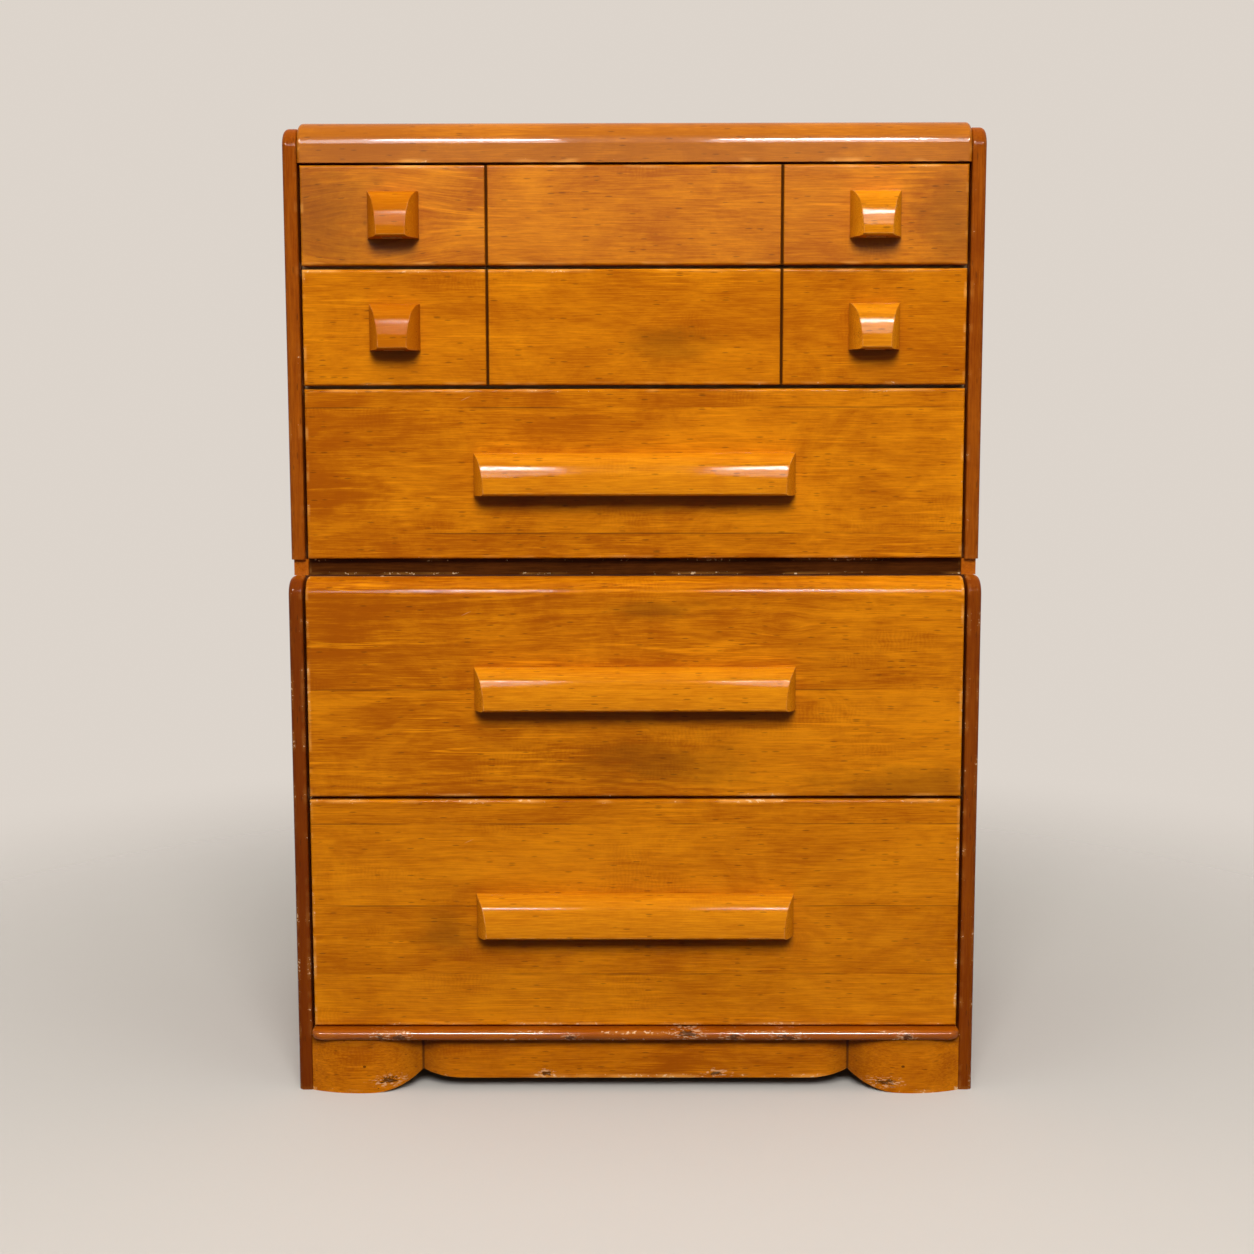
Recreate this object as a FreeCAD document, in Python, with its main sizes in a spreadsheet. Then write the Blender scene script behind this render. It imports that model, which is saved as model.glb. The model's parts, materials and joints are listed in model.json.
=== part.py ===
import FreeCAD, Part
import math
import os
import re

import Sketcher

# Chest on chest: an upper case of three drawers stands on a recessed waist over a deeper lower case
# of two drawers. Width runs along X, the front faces -Y and the floor is Z = 0. The origin is under
# the middle of the whole piece, pulls included.

SIZES = {
    # Cases
    "case_width": 864,
    "lower_depth": 483,
    "upper_setback": 25,
    "side_thick": 18,
    "back_thick": 6,
    "back_rabbet": 9,
    # Base
    "base_height": 69.5,
    "base_rail_thick": 13.5,
    "base_rail_depth": 56,
    "base_rail_nose": 16,
    "base_rail_round": 6,
    "foot_width": 141,
    "foot_thick": 32,
    "foot_tread": 77,
    "foot_bow_radius": 150,
    "cusp_height": 25,
    "cusp_recess": 10,
    "apron_thick": 20,
    "apron_low": 16,
    "apron_sweep": 40,
    "apron_scallop": 55,
    "block_side": 28,
    "block_height": 58,
    # Heights of the drawer fronts and of the gaps between them, from the floor up
    "base_gap": 2,
    "front_5_height": 294,
    "lower_gap": 4,
    "front_4_height": 277,
    "ledge_rise": 1,
    "waist_height": 20,
    "waist_gap": 1,
    "front_3_height": 211,
    "upper_gap": 4.5,
    "front_2_height": 142,
    "front_1_height": 121,
    "top_gap": 3,
    # Top board
    "top_lip_height": 51,
    "top_lip_depth": 36,
    "top_thick": 22,
    "top_rise": 7,
    "top_round": 28,
    "top_end_round": 6,
    # Outer edges
    "shoulder_round": 24,
    "arris_round": 7,
    "inner_arris_round": 3,
    "front_edge_round": 3,
    # Waist
    "waist_inset": 3,
    "waist_end_recess": 6,
    "waist_rail_recess": 12,
    # Frames that the drawers run on
    "frame_thick": 18,
    "frame_dado": 6,
    "frame_front_width": 55,
    "frame_back_width": 45,
    "frame_side_width": 50,
    "dust_panel_thick": 5,
    "runner_width": 22,
    "runner_height": 8,
    # Drawer boxes
    "front_thick": 25,
    "drawer_side_gap": 3.5,
    "drawer_side_thick": 12,
    "drawer_back_thick": 12,
    "drawer_back_drop": 8,
    "drawer_rear_gap": 14,
    "drawer_head_gap": 6,
    "run_gap": 0.3,
    "stop_gap": 0.3,
    "bottom_thick": 5,
    "bottom_lift": 14,
    "bottom_groove": 5,
    "guide_width": 16,
    "guide_gap": 0.4,
    "guide_lift": 0.7,
    "tail_pitch": 36,
    "tail_root": 18,
    "tail_flare": 2.7,
    "tail_depth": 16,
    "end_section": 228.5,
    "groove_width": 5,
    "groove_depth": 4,
    # Knobs and pulls
    "handle_projection": 30,
    "handle_lip": 3,
    "handle_shoulder_depth": 25.2,
    "handle_shoulder_drop": 16,
    "handle_nose": 4,
    "handle_chin": 3,
    "handle_chin_depth": 25,
    "handle_chin_radius": 6,
    "handle_hip": 14,
    "handle_hip_radius": 45,
    "finger_groove_front": 22,
    "finger_groove_back": 5,
    "finger_groove_wall": 4,
    "finger_groove_radius": 12,
    "finger_groove_end": 19,
    "knob_length": 63,
    "knob_height": 57,
    "pull_length": 402,
    "pull_height": 53,
}

doc = FreeCAD.newDocument("Dresser")
sheet = doc.addObject("Spreadsheet::Sheet", "Sizes")
for row, (alias, number) in enumerate(SIZES.items(), start=1):
    sheet.set(f"A{row}", alias)
    sheet.set(f"B{row}", str(number))
    sheet.setAlias(f"B{row}", alias)
doc.recompute()

PLACE_TOLERANCE = 0.01
nodes = []


# Expressions

def bound(text):
    """Turns an expression in plain size names into one that reads the sheet."""
    return re.sub(r"[a-z]\w*", lambda word: "Sizes." + word.group(), str(text))


def value(text):
    """The number that an expression gives now."""
    return float(sheet.evalExpression(bound(text)))


def low_high(low, length):
    """Two bounds of a stretch that starts at low."""
    return low, f"({low} + {length})"


# Building blocks

def block(name, x, y, z):
    """A square board between two bounds along each axis."""
    board = doc.addObject("Part::Box", name)
    for size, axis, (low, high) in zip(("Length", "Width", "Height"), "xyz", (x, y, z)):
        board.setExpression(size, bound(f"{high} - ({low})"))
        board.setExpression(f"Placement.Base.{axis}", bound(low))
    return board


def group(name, boards):
    """Separate boards that are kept as one node."""
    compound = doc.addObject("Part::Compound", name)
    compound.Links = boards
    return compound


def new_body(name):
    return doc.addObject("PartDesign::Body", name)


def origin_plane(body, role):
    return next(plane for plane in body.Origin.OriginFeatures if plane.Role == role)


def add_outline(sketch, corners):
    """Draws a closed outline through the corners, counter-clockwise.

    A corner is (x, y) where a straight line leads on to the next one, or (x, y, bow, radius) where an
    arc does, with a bow that is "round" (out of the outline) or "hollow" (into it).
    """
    points = [FreeCAD.Vector(value(corner[0]), value(corner[1]), 0) for corner in corners]
    first = sketch.GeometryCount
    ends = []
    for index, corner in enumerate(corners):
        start = points[index]
        end = points[(index + 1) % len(points)]
        if len(corner) == 2:
            sketch.addGeometry(Part.LineSegment(start, end), False)
            ends.append((1, 2))
        else:
            sketch.addGeometry(arc_between(start, end, corner[2], value(corner[3])), False)
            ends.append((1, 2) if corner[2] == "round" else (2, 1))
    for index, corner in enumerate(corners):
        edge = first + index
        start, end = ends[index]
        onward = (index + 1) % len(corners)
        joint = Sketcher.Constraint("Coincident", edge, end, first + onward, ends[onward][0])
        sketch.addConstraint(joint)
        for kind, place in zip(("DistanceX", "DistanceY"), corner):
            distance = Sketcher.Constraint(kind, -1, 1, edge, start, value(place))
            number = sketch.addConstraint(distance)
            sketch.setExpression(f"Constraints[{number}]", bound(place))
        if len(corner) > 2:
            number = sketch.addConstraint(Sketcher.Constraint("Radius", edge, value(corner[3])))
            sketch.setExpression(f"Constraints[{number}]", bound(corner[3]))


def arc_between(start, end, bow, radius):
    """The shorter arc of a radius between two points of a counter-clockwise outline."""
    chord = end - start
    to_centre = FreeCAD.Vector(-chord.y, chord.x, 0).normalize()
    if bow == "hollow":
        to_centre = -to_centre
        start, end = end, start
    centre = (start + end) / 2 + to_centre * math.sqrt(radius ** 2 - (chord.Length / 2) ** 2)
    angles = [math.atan2(point.y - centre.y, point.x - centre.x) for point in (start, end)]
    circle = Part.Circle(centre, FreeCAD.Vector(0, 0, 1), radius)
    return Part.ArcOfCircle(circle, angles[0], angles[1])


def sketch_on(body, role, level, outlines):
    """A sketch of closed outlines on one of the body's own planes, moved along its normal."""
    sketch = body.newObject("Sketcher::SketchObject", body.Name + "_sketch")
    sketch.AttachmentSupport = [(origin_plane(body, role), "")]
    sketch.MapMode = "FlatFace"
    sketch.setExpression("AttachmentOffset.Base.z", bound(level))
    for outline in outlines:
        add_outline(sketch, outline)
    return sketch


def pad(body, role, level, length, outline):
    feature = body.newObject("PartDesign::Pad", body.Name + "_pad")
    feature.Profile = sketch_on(body, role, level, [outline])
    feature.setExpression("Length", bound(length))
    doc.recompute()
    return feature


def pocket(body, role, level, depth, outlines, ahead=False):
    """Cuts outlines behind or ahead of their plane, or right through where depth is None."""
    before = body.Shape.Volume
    feature = body.newObject("PartDesign::Pocket", body.Name + "_pocket")
    feature.Profile = sketch_on(body, role, level, outlines)
    if depth is None:
        feature.SideType = "Symmetric"
        feature.Type = "ThroughAll"
    else:
        feature.setExpression("Length", bound(depth))
        feature.Reversed = ahead
    doc.recompute()
    if body.Shape.Volume >= before:
        raise ValueError(f"{feature.Name} cuts nothing")
    return feature


def mirror_across(body, feature):
    """Repeats a feature on the other side of the middle of the body."""
    before = body.Shape.Volume
    copy = body.newObject("PartDesign::Mirrored", body.Name + "_mirror")
    copy.Originals = [feature]
    copy.MirrorPlane = (origin_plane(body, "YZ_Plane"), [""])
    body.Tip = copy
    doc.recompute()
    if body.Shape.Volume >= before:
        raise ValueError(f"{copy.Name} cuts nothing")


def lies_at(edge, place):
    """Whether both ends of an edge have the given coordinates."""
    return all(abs(getattr(vertex.Point, axis) - number) < PLACE_TOLERANCE
               for vertex in edge.Vertexes for axis, number in place.items())


def round_edges(body, radius, places):
    """Rounds the edges at the places, each a dictionary of coordinates, and what runs on from them."""
    base = body.Tip
    numbers = [{axis: value(text) for axis, text in place.items()} for place in places]
    names = [f"Edge{index}" for index, edge in enumerate(base.Shape.Edges, start=1)
             if any(lies_at(edge, place) for place in numbers)]
    fillet = body.newObject("PartDesign::Fillet", body.Name + "_round")
    fillet.Base = (base, names)
    fillet.setExpression("Radius", bound(radius))
    doc.recompute()


def keep(piece):
    """Counts a finished piece among the nodes."""
    nodes.append(piece)
    return piece


def rectangle(y, z):
    """Outline of a rectangle between two bounds each way."""
    return [(y[0], z[0]), (y[1], z[0]), (y[1], z[1]), (y[0], z[1])]


# Shared levels: X from the middle, Y from front to back, Z from the floor

half_width = "(case_width / 2)"
inner_half = f"({half_width} - side_thick)"
back = "((lower_depth + handle_projection) / 2)"
back_inside = f"({back} - back_thick)"
lower_front = f"({back} - lower_depth)"
upper_front = f"({lower_front} + upper_setback)"

rail_top = "(base_height + base_rail_thick)"
front_5 = low_high(f"({rail_top} + base_gap)", "front_5_height")
front_4 = low_high(f"({front_5[1]} + lower_gap)", "front_4_height")
lower_top = f"({front_4[1]} + ledge_rise)"
upper_low = f"({lower_top} + waist_height)"
front_3 = low_high(f"({upper_low} + waist_gap)", "front_3_height")
front_2 = low_high(f"({front_3[1]} + upper_gap)", "front_2_height")
front_1 = low_high(f"({front_2[1]} + upper_gap)", "front_1_height")
lip_low = f"({front_1[1]} + top_gap)"
top = f"({lip_low} + top_lip_height)"
top_under = f"({top} - top_thick)"
side_top = f"({top} - top_rise)"

# Each frame is as thick as its bounds say, and centred behind the gap between two fronts

seam_1 = f"({front_1[0]} - (upper_gap + frame_thick) / 2)"
seam_2 = f"({front_2[0]} - (upper_gap + frame_thick) / 2)"
seam_4 = f"({front_4[0]} - (lower_gap + frame_thick) / 2)"
frame_1 = low_high(seam_1, "frame_thick")
frame_2 = low_high(seam_2, "frame_thick")
frame_3 = low_high(upper_low, "frame_thick")
frame_4 = low_high(seam_4, "frame_thick")
frame_5 = low_high("base_height", "base_rail_thick")
lower_top_board = (f"({lower_top} - frame_thick)", lower_top)

front_behind = "(front_thick + stop_gap)"
upper_frame_front = f"({upper_front} + {front_behind})"
lower_frame_front = f"({lower_front} + {front_behind})"
base_rail_back = f"({lower_front} - base_rail_nose + base_rail_depth)"

# The drawers fill the opening but for a gap on either side, and the upper fronts are parted in three

drawer_half = f"({inner_half} - drawer_side_gap)"
groove_place = f"({drawer_half} - end_section)"
knob_place = f"({drawer_half} - end_section / 2)"


# Cases

def side_panel(name, hand, front, z, frames, back_z):
    """A side panel with dados for the frames, a rabbet for the back and a rounded outer edge."""
    body = new_body(name)
    outer = f"({hand} * {half_width})"
    inner = f"({hand} * {inner_half})"
    left = outer if hand < 0 else inner
    pad(body, "YZ_Plane", left, "side_thick", rectangle((front, back), z))
    dados = [rectangle((start, back_inside), frame_z) for start, frame_z in frames]
    pocket(body, "YZ_Plane", inner, "frame_dado", dados, ahead=hand > 0)
    rabbet = rectangle((back_inside, back), back_z)
    pocket(body, "YZ_Plane", inner, "back_rabbet", [rabbet], ahead=hand > 0)
    round_edges(body, "shoulder_round", [{"y": front, "z": z[1]}])
    round_edges(body, "arris_round", [{"x": outer, "z": z[1]}])
    round_edges(body, "inner_arris_round", [{"x": inner, "z": z[1]}])
    return keep(body)


def top_panel():
    """Top board with a deep front lip that rolls over, rounded at both ends."""
    body = new_body("top_panel")
    lip_back = f"({upper_front} + top_lip_depth)"
    outline = [(upper_front, lip_low), (lip_back, lip_low), (lip_back, top_under), (back, top_under),
               (back, top), (upper_front, top)]
    pad(body, "YZ_Plane", f"-{inner_half}", f"2 * {inner_half}", outline)
    round_edges(body, "top_round", [{"y": upper_front, "z": top}])
    round_edges(body, "top_end_round", [{"x": f"-{inner_half}", "z": top}, {"x": inner_half, "z": top}])
    return keep(body)


def back_panel(name, z):
    reach = f"({inner_half} + back_rabbet)"
    return keep(block(name, (f"-{reach}", reach), (back_inside, back), z))


def waist():
    """The plinth between the cases: two sides, a recessed front rail and a back rail."""
    z = low_high(lower_top, "waist_height")
    outside = f"({half_width} - waist_inset)"
    inside = f"({outside} - side_thick)"
    along = (f"({upper_front} + waist_end_recess)", back)
    keep(block("waist_side_left", (f"-{outside}", f"-{inside}"), along, z))
    keep(block("waist_side_right", (inside, outside), along, z))
    between = (f"-{inside}", inside)
    front_rail = low_high(f"({upper_front} + waist_rail_recess)", "side_thick")
    keep(block("waist_front_rail", between, front_rail, z))
    keep(block("waist_back_rail", between, (f"({back} - side_thick)", back), z))


def drawer_frame(name, front, z):
    """Rails all round, a dust panel between them and the runner that steers the drawer."""
    end = f"({inner_half} + frame_dado)"
    inside = f"({end} - frame_side_width)"
    front_rail = low_high(front, "frame_front_width")
    back_rail = (f"({back_inside} - frame_back_width)", back_inside)
    between = (front_rail[1], back_rail[0])
    panel_z = low_high(f"(({z[0]} + {z[1]} - dust_panel_thick) / 2)", "dust_panel_thick")
    boards = [
        block(name + "_front_rail", (f"-{end}", end), front_rail, z),
        block(name + "_back_rail", (f"-{end}", end), back_rail, z),
        block(name + "_left_rail", (f"-{end}", f"-{inside}"), between, z),
        block(name + "_right_rail", (inside, end), between, z),
        block(name + "_dust_panel", (f"-{inside}", inside), between, panel_z),
        block(name + "_runner", ("-runner_width / 2", "runner_width / 2"), (front, back_inside),
              low_high(z[1], "runner_height")),
    ]
    return keep(group(name, boards))


# Base

def base_rail():
    """Rail under the lowest drawer, with a bullnose that turns in at both ends."""
    body = new_body("base_rail")
    nose = f"({lower_front} - base_rail_nose)"
    turn = f"({inner_half} - base_rail_nose)"
    outline = [(f"-{inner_half}", lower_front, "round", "base_rail_nose"), (f"-{turn}", nose),
               (turn, nose, "round", "base_rail_nose"), (inner_half, lower_front),
               (inner_half, base_rail_back), (f"-{inner_half}", base_rail_back)]
    pad(body, "XY_Plane", "base_height", "base_rail_thick", outline)
    round_edges(body, "base_rail_round", [{"y": nose, "z": "base_height"}, {"y": nose, "z": rail_top}])
    return keep(body)


def tangent_radius(run, rise):
    """Radius of an arc that leaves a flat line and rises by rise over run."""
    return f"(({run})^2 + ({rise})^2) / (2 * ({rise}))"


def foot(name, hand):
    """A bowed front foot, whose tread rolls up to the cusp beside the apron."""
    body = new_body(name)
    outer = f"({hand} * {inner_half})"
    inner = f"({hand} * ({inner_half} - foot_width))"
    behind = f"({lower_front} + foot_thick)"
    recessed = f"({lower_front} + cusp_recess)"
    if hand < 0:
        face = [(outer, lower_front, "round", "foot_bow_radius"), (inner, recessed),
                (inner, behind), (outer, behind)]
    else:
        face = [(inner, recessed, "round", "foot_bow_radius"), (outer, lower_front),
                (outer, behind), (inner, behind)]
    pad(body, "XY_Plane", "0", "base_height", face)
    tread = f"({hand} * ({inner_half} - foot_tread))"
    radius = tangent_radius("foot_width - foot_tread", "cusp_height")
    if hand < 0:
        roll = [(tread, "0"), (inner, "0"), (inner, "cusp_height", "hollow", radius)]
    else:
        roll = [(tread, "0", "hollow", radius), (inner, "cusp_height"), (inner, "0")]
    pocket(body, "XZ_Plane", "0", None, [roll])
    return keep(body)


def apron():
    """Apron between the feet, its ends swept back in plan and scalloped up to the cusps."""
    body = new_body("apron")
    end = f"({inner_half} - foot_width)"
    flat = f"({end} - apron_sweep)"
    recessed = f"({lower_front} + cusp_recess)"
    behind = f"({lower_front} + apron_thick)"
    sweep = tangent_radius("apron_sweep", "cusp_recess")
    outline = [(f"-{end}", recessed, "round", sweep), (f"-{flat}", lower_front),
               (flat, lower_front, "round", sweep), (end, recessed), (end, behind), (f"-{end}", behind)]
    pad(body, "XY_Plane", "apron_low", "base_height - apron_low", outline)
    scallop = f"({end} - apron_scallop)"
    radius = tangent_radius("apron_scallop", "cusp_height - apron_low")
    left_end = [(f"-{end}", "apron_low"), (f"-{scallop}", "apron_low", "hollow", radius),
                (f"-{end}", "cusp_height")]
    cut = pocket(body, "XZ_Plane", "0", None, [left_end])
    mirror_across(body, cut)
    return keep(body)


def corner_blocks():
    """Glue blocks that tie the feet and the back corners to the sides and the bottom frame."""
    z = ("(base_height - block_height)", "base_height")
    across = {"left": (f"-{inner_half}", f"-({inner_half} - block_side)"),
              "right": (f"({inner_half} - block_side)", inner_half)}
    along = {"front": low_high(f"({lower_front} + foot_thick)", "block_side"),
             "rear": (f"({back_inside} - block_side)", back_inside)}
    blocks = [block(f"corner_block_{end}_{hand}", x, y, z)
              for end, y in along.items() for hand, x in across.items()]
    return keep(group("corner_blocks", blocks))


# Drawers

def tails(low, height, root, tip):
    """Outlines of the dovetails along a drawer side, from the bottom up."""
    count = max(2, round(value(height) / value("tail_pitch")))
    shapes = []
    for index in range(count):
        middle = f"({low} + {height} * {index + 0.5} / {count})"
        narrow = "(tail_root / 2)"
        wide = "(tail_root / 2 + tail_flare)"
        shapes.append([(tip, f"{middle} - {wide}"), (root, f"{middle} - {narrow}"),
                       (root, f"{middle} + {narrow}"), (tip, f"{middle} + {wide}")])
    return shapes


def drawer_side(name, hand, y, z, dovetails):
    """A drawer side with tails at its front end and a groove for the bottom along its inside."""
    body = new_body(name)
    inner = f"({hand} * ({drawer_half} - drawer_side_thick))"
    left = f"(-{drawer_half})" if hand < 0 else inner
    down_the_end = [corner for tail in reversed(dovetails)
                    for corner in (tail[2], tail[3], tail[0], tail[1])]
    outline = [(y[0], z[0]), (y[1], z[0]), (y[1], z[1]), (y[0], z[1])] + down_the_end
    pad(body, "YZ_Plane", left, "drawer_side_thick", outline)
    groove_z = low_high(f"({z[0]} + bottom_lift)", "bottom_thick")
    groove = rectangle((f"({y[0]} - tail_depth)", y[1]), groove_z)
    pocket(body, "YZ_Plane", inner, "bottom_groove", [groove], ahead=hand > 0)
    return keep(body)


def drawer_front(name, face, z, box_z, dovetails, top_radius, grooved):
    """A drawer front with sockets for the tails and a groove for the bottom."""
    body = new_body(name)
    behind = f"({face} + front_thick)"
    pad(body, "YZ_Plane", f"-{drawer_half}", f"2 * {drawer_half}", rectangle((face, behind), z))
    edges = [{"y": face, "z": z[0]}, {"x": f"-{drawer_half}", "y": face}, {"x": drawer_half, "y": face}]
    if top_radius:
        round_edges(body, top_radius, [{"y": face, "z": z[1]}])
    else:
        edges.append({"y": face, "z": z[1]})
    round_edges(body, "front_edge_round", edges)
    if grooved:
        pocket(body, "XY_Plane", "0", None, [v_groove(face, hand) for hand in (-1, 1)])
    groove_z = low_high(f"({box_z[0]} + bottom_lift)", "bottom_thick")
    groove = rectangle((f"({behind} - bottom_groove)", behind), groove_z)
    reach = f"({drawer_half} - drawer_side_thick + bottom_groove)"
    pocket(body, "YZ_Plane", reach, f"2 * {reach}", [groove])
    sockets = pocket(body, "YZ_Plane", f"-{drawer_half}", "drawer_side_thick", dovetails, ahead=True)
    mirror_across(body, sockets)
    return keep(body)


def v_groove(face, hand):
    """Plan of one of the upright grooves that part a front in three."""
    place = f"({hand} * {groove_place})"
    return [(f"({place} - groove_width / 2)", face), (f"({place} + groove_width / 2)", face),
            (place, f"({face} + groove_depth)")]


def handle(name, length, height, x, face, z):
    """A wooden pull: a round shoulder, a bowed face, hipped ends and a finger groove underneath."""
    body = new_body(name)
    body.setExpression("Placement.Base.x", bound(x))
    body.setExpression("Placement.Base.y", bound(face))
    body.setExpression("Placement.Base.z", bound(f"({z[0]} + {z[1]} + {height}) / 2"))
    nose = f"({height} - handle_chin - handle_nose)"
    shoulder = tangent_radius("handle_shoulder_depth - handle_lip", "handle_shoulder_drop")
    bow = tangent_radius(f"{nose} - handle_shoulder_drop", "handle_projection - handle_shoulder_depth")
    profile = [
        ("0", "0"),
        ("-handle_lip", "0", "round", shoulder),
        ("-handle_shoulder_depth", "-handle_shoulder_drop", "round", bow),
        ("-handle_projection", f"-{nose}"),
        ("-handle_projection", f"-({height} - handle_chin)", "round", "handle_chin_radius"),
        ("-handle_chin_depth", f"-{height}"),
        ("0", f"-{height}"),
    ]
    pad(body, "YZ_Plane", f"-{length} / 2", length, profile)
    wall = f"-({height} - finger_groove_wall)"
    groove = [
        ("-finger_groove_front", f"-{height}"),
        ("-finger_groove_back", f"-{height}"),
        ("-finger_groove_back", wall, "round", "finger_groove_radius"),
        ("-finger_groove_front", wall),
    ]
    reach = f"({length} / 2 - finger_groove_end)"
    pocket(body, "YZ_Plane", f"-{reach}", f"2 * {reach}", [groove], ahead=True)
    end = f"(-{length} / 2)"
    hip = [(end, "-handle_projection"),
           (f"{end} + handle_hip", "-handle_projection", "hollow", "handle_hip_radius"), (end, "0")]
    mirror_across(body, pocket(body, "XY_Plane", "0", None, [hip]))
    return keep(body)


def drawer(number, face, z, frame, ceiling, top_radius=None):
    """A dovetailed drawer that runs on its frame, closed against the frame's front edge."""
    name = f"drawer_{number}"
    behind = f"({face} + front_thick)"
    rear = f"({back_inside} - drawer_rear_gap)"
    box_z = (f"({frame[1]} + run_gap)", f"({ceiling} - drawer_head_gap)")
    box_height = f"({box_z[1]} - {box_z[0]})"
    dovetails = tails(box_z[0], box_height, behind, f"({behind} - tail_depth)")
    knobbed = number <= 2
    drawer_front(f"{name}_front", face, z, box_z, dovetails, top_radius, grooved=knobbed)
    for side, hand in (("left", -1), ("right", 1)):
        drawer_side(f"{name}_side_{side}", hand, (behind, rear), box_z, dovetails)
    inner = f"({drawer_half} - drawer_side_thick)"
    bottom_z = low_high(f"({box_z[0]} + bottom_lift)", "bottom_thick")
    keep(block(f"{name}_back", (f"-{inner}", inner), (f"({rear} - drawer_back_thick)", rear),
               (bottom_z[1], f"({box_z[1]} - drawer_back_drop)")))
    seat = f"({inner} + bottom_groove)"
    keep(block(f"{name}_bottom", (f"-{seat}", seat), (f"({behind} - bottom_groove)", rear), bottom_z))
    strip = low_high("(runner_width / 2 + guide_gap)", "guide_width")
    strip_z = (f"({frame[1]} + guide_lift)", bottom_z[0])
    strips = [block(f"{name}_guide_left", (f"-{strip[1]}", f"-{strip[0]}"), (behind, rear), strip_z),
              block(f"{name}_guide_right", strip, (behind, rear), strip_z)]
    keep(group(f"{name}_guide", strips))
    if knobbed:
        handle(f"{name}_knob_left", "knob_length", "knob_height", f"-{knob_place}", face, z)
        handle(f"{name}_knob_right", "knob_length", "knob_height", knob_place, face, z)
    else:
        handle(f"{name}_pull", "pull_length", "pull_height", "0", face, z)


# The whole dresser

upper_frames = [(upper_frame_front, frame) for frame in (frame_1, frame_2, frame_3)]
lower_frames = [(lower_frame_front, frame_4), (base_rail_back, frame_5)]
upper_back = (upper_low, top_under)
lower_back = ("base_height", lower_top)
for side, hand in (("left", -1), ("right", 1)):
    side_panel(f"upper_side_{side}", hand, upper_front, (upper_low, side_top), upper_frames, upper_back)
    side_panel(f"lower_side_{side}", hand, lower_front, ("0", lower_top), lower_frames, lower_back)
top_panel()
back_panel("upper_back_panel", upper_back)
back_panel("lower_back_panel", lower_back)
waist()
lower_top_depth = (lower_frame_front, back_inside)
keep(block("lower_top_panel", (f"-{inner_half}", inner_half), lower_top_depth, lower_top_board))
for number, (front, z) in enumerate(upper_frames + lower_frames[:1], start=1):
    drawer_frame(f"dust_frame_{number}", front, z)
drawer_frame("bottom_frame", *lower_frames[1])
base_rail()
apron()
foot("foot_left", -1)
foot("foot_right", 1)
corner_blocks()
drawer(1, upper_front, front_1, frame_1, lip_low)
drawer(2, upper_front, front_2, frame_2, frame_1[0])
drawer(3, upper_front, front_3, frame_3, frame_2[0])
drawer(4, lower_front, front_4, frame_4, lower_top_board[0], top_radius="shoulder_round")
drawer(5, lower_front, front_5, frame_5, frame_4[0])

doc.recompute()
for item in doc.Objects:
    if "Invalid" in item.State or "Error" in item.State:
        raise RuntimeError(f"{item.Label} failed: {item.State}")
for piece in nodes:
    if piece.Shape.isNull() or not piece.Shape.isValid():
        raise RuntimeError(f"{piece.Label} has no valid shape")

os.makedirs("parts", exist_ok=True)
for piece in nodes:
    piece.Shape.exportStep(f"parts/{piece.Label}.step")
print(f"{len(nodes)} nodes")
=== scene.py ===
import json
import math

import bpy
from bpy.props import FloatProperty, FloatVectorProperty, IntProperty, PointerProperty
from mathutils import Euler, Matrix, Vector

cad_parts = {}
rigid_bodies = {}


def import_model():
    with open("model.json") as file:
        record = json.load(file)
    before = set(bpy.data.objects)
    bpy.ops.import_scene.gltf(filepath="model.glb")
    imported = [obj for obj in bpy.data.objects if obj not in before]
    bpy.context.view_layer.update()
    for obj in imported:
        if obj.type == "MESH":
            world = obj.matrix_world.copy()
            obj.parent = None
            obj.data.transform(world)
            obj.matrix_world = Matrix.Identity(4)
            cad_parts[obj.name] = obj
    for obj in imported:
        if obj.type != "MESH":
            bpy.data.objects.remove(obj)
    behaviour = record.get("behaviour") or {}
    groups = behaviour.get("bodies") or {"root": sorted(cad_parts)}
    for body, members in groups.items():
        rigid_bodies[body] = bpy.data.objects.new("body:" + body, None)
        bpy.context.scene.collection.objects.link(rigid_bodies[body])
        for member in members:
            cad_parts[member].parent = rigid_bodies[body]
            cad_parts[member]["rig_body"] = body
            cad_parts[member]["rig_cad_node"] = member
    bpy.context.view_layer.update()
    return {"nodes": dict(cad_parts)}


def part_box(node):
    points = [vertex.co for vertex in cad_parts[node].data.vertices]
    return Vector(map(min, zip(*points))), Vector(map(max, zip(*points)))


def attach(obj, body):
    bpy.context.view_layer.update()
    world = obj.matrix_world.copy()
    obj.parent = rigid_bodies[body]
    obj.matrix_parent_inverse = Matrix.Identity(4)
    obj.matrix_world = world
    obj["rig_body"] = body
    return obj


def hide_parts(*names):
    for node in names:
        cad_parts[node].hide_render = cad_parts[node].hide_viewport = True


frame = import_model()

bl_info = {
    "name": "Maple Chest on Chest",
    "version": (1, 0, 0),
    "blender": (4, 5, 0),
    "location": "View3D > Sidebar > Dresser",
    "description": "Gives the maple chest on chest its finishes, softened handles, fasteners and studio",
    "category": "Object",
}

NODES = frame["nodes"]

# Knobs and pulls of each drawer
HANDLES = {
    "drawer_1": ("drawer_1_knob_left", "drawer_1_knob_right"),
    "drawer_2": ("drawer_2_knob_left", "drawer_2_knob_right"),
    "drawer_3": ("drawer_3_pull",),
    "drawer_4": ("drawer_4_pull",),
    "drawer_5": ("drawer_5_pull",),
}
DUST_FRAMES = 4
PULL_SCREW_SHARE = 0.3  # of a pull's length, from its middle to each of its two screws

# Places along Y of the faces that carry stains, painted shadows and knocks, and a spread that goes through
# any board
UPPER_FACE = -0.2015
LOWER_FACE = -0.2265
RAIL_FACE = -0.2425
APRON_FACE = -0.2335
THROUGH = 0.3

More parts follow.
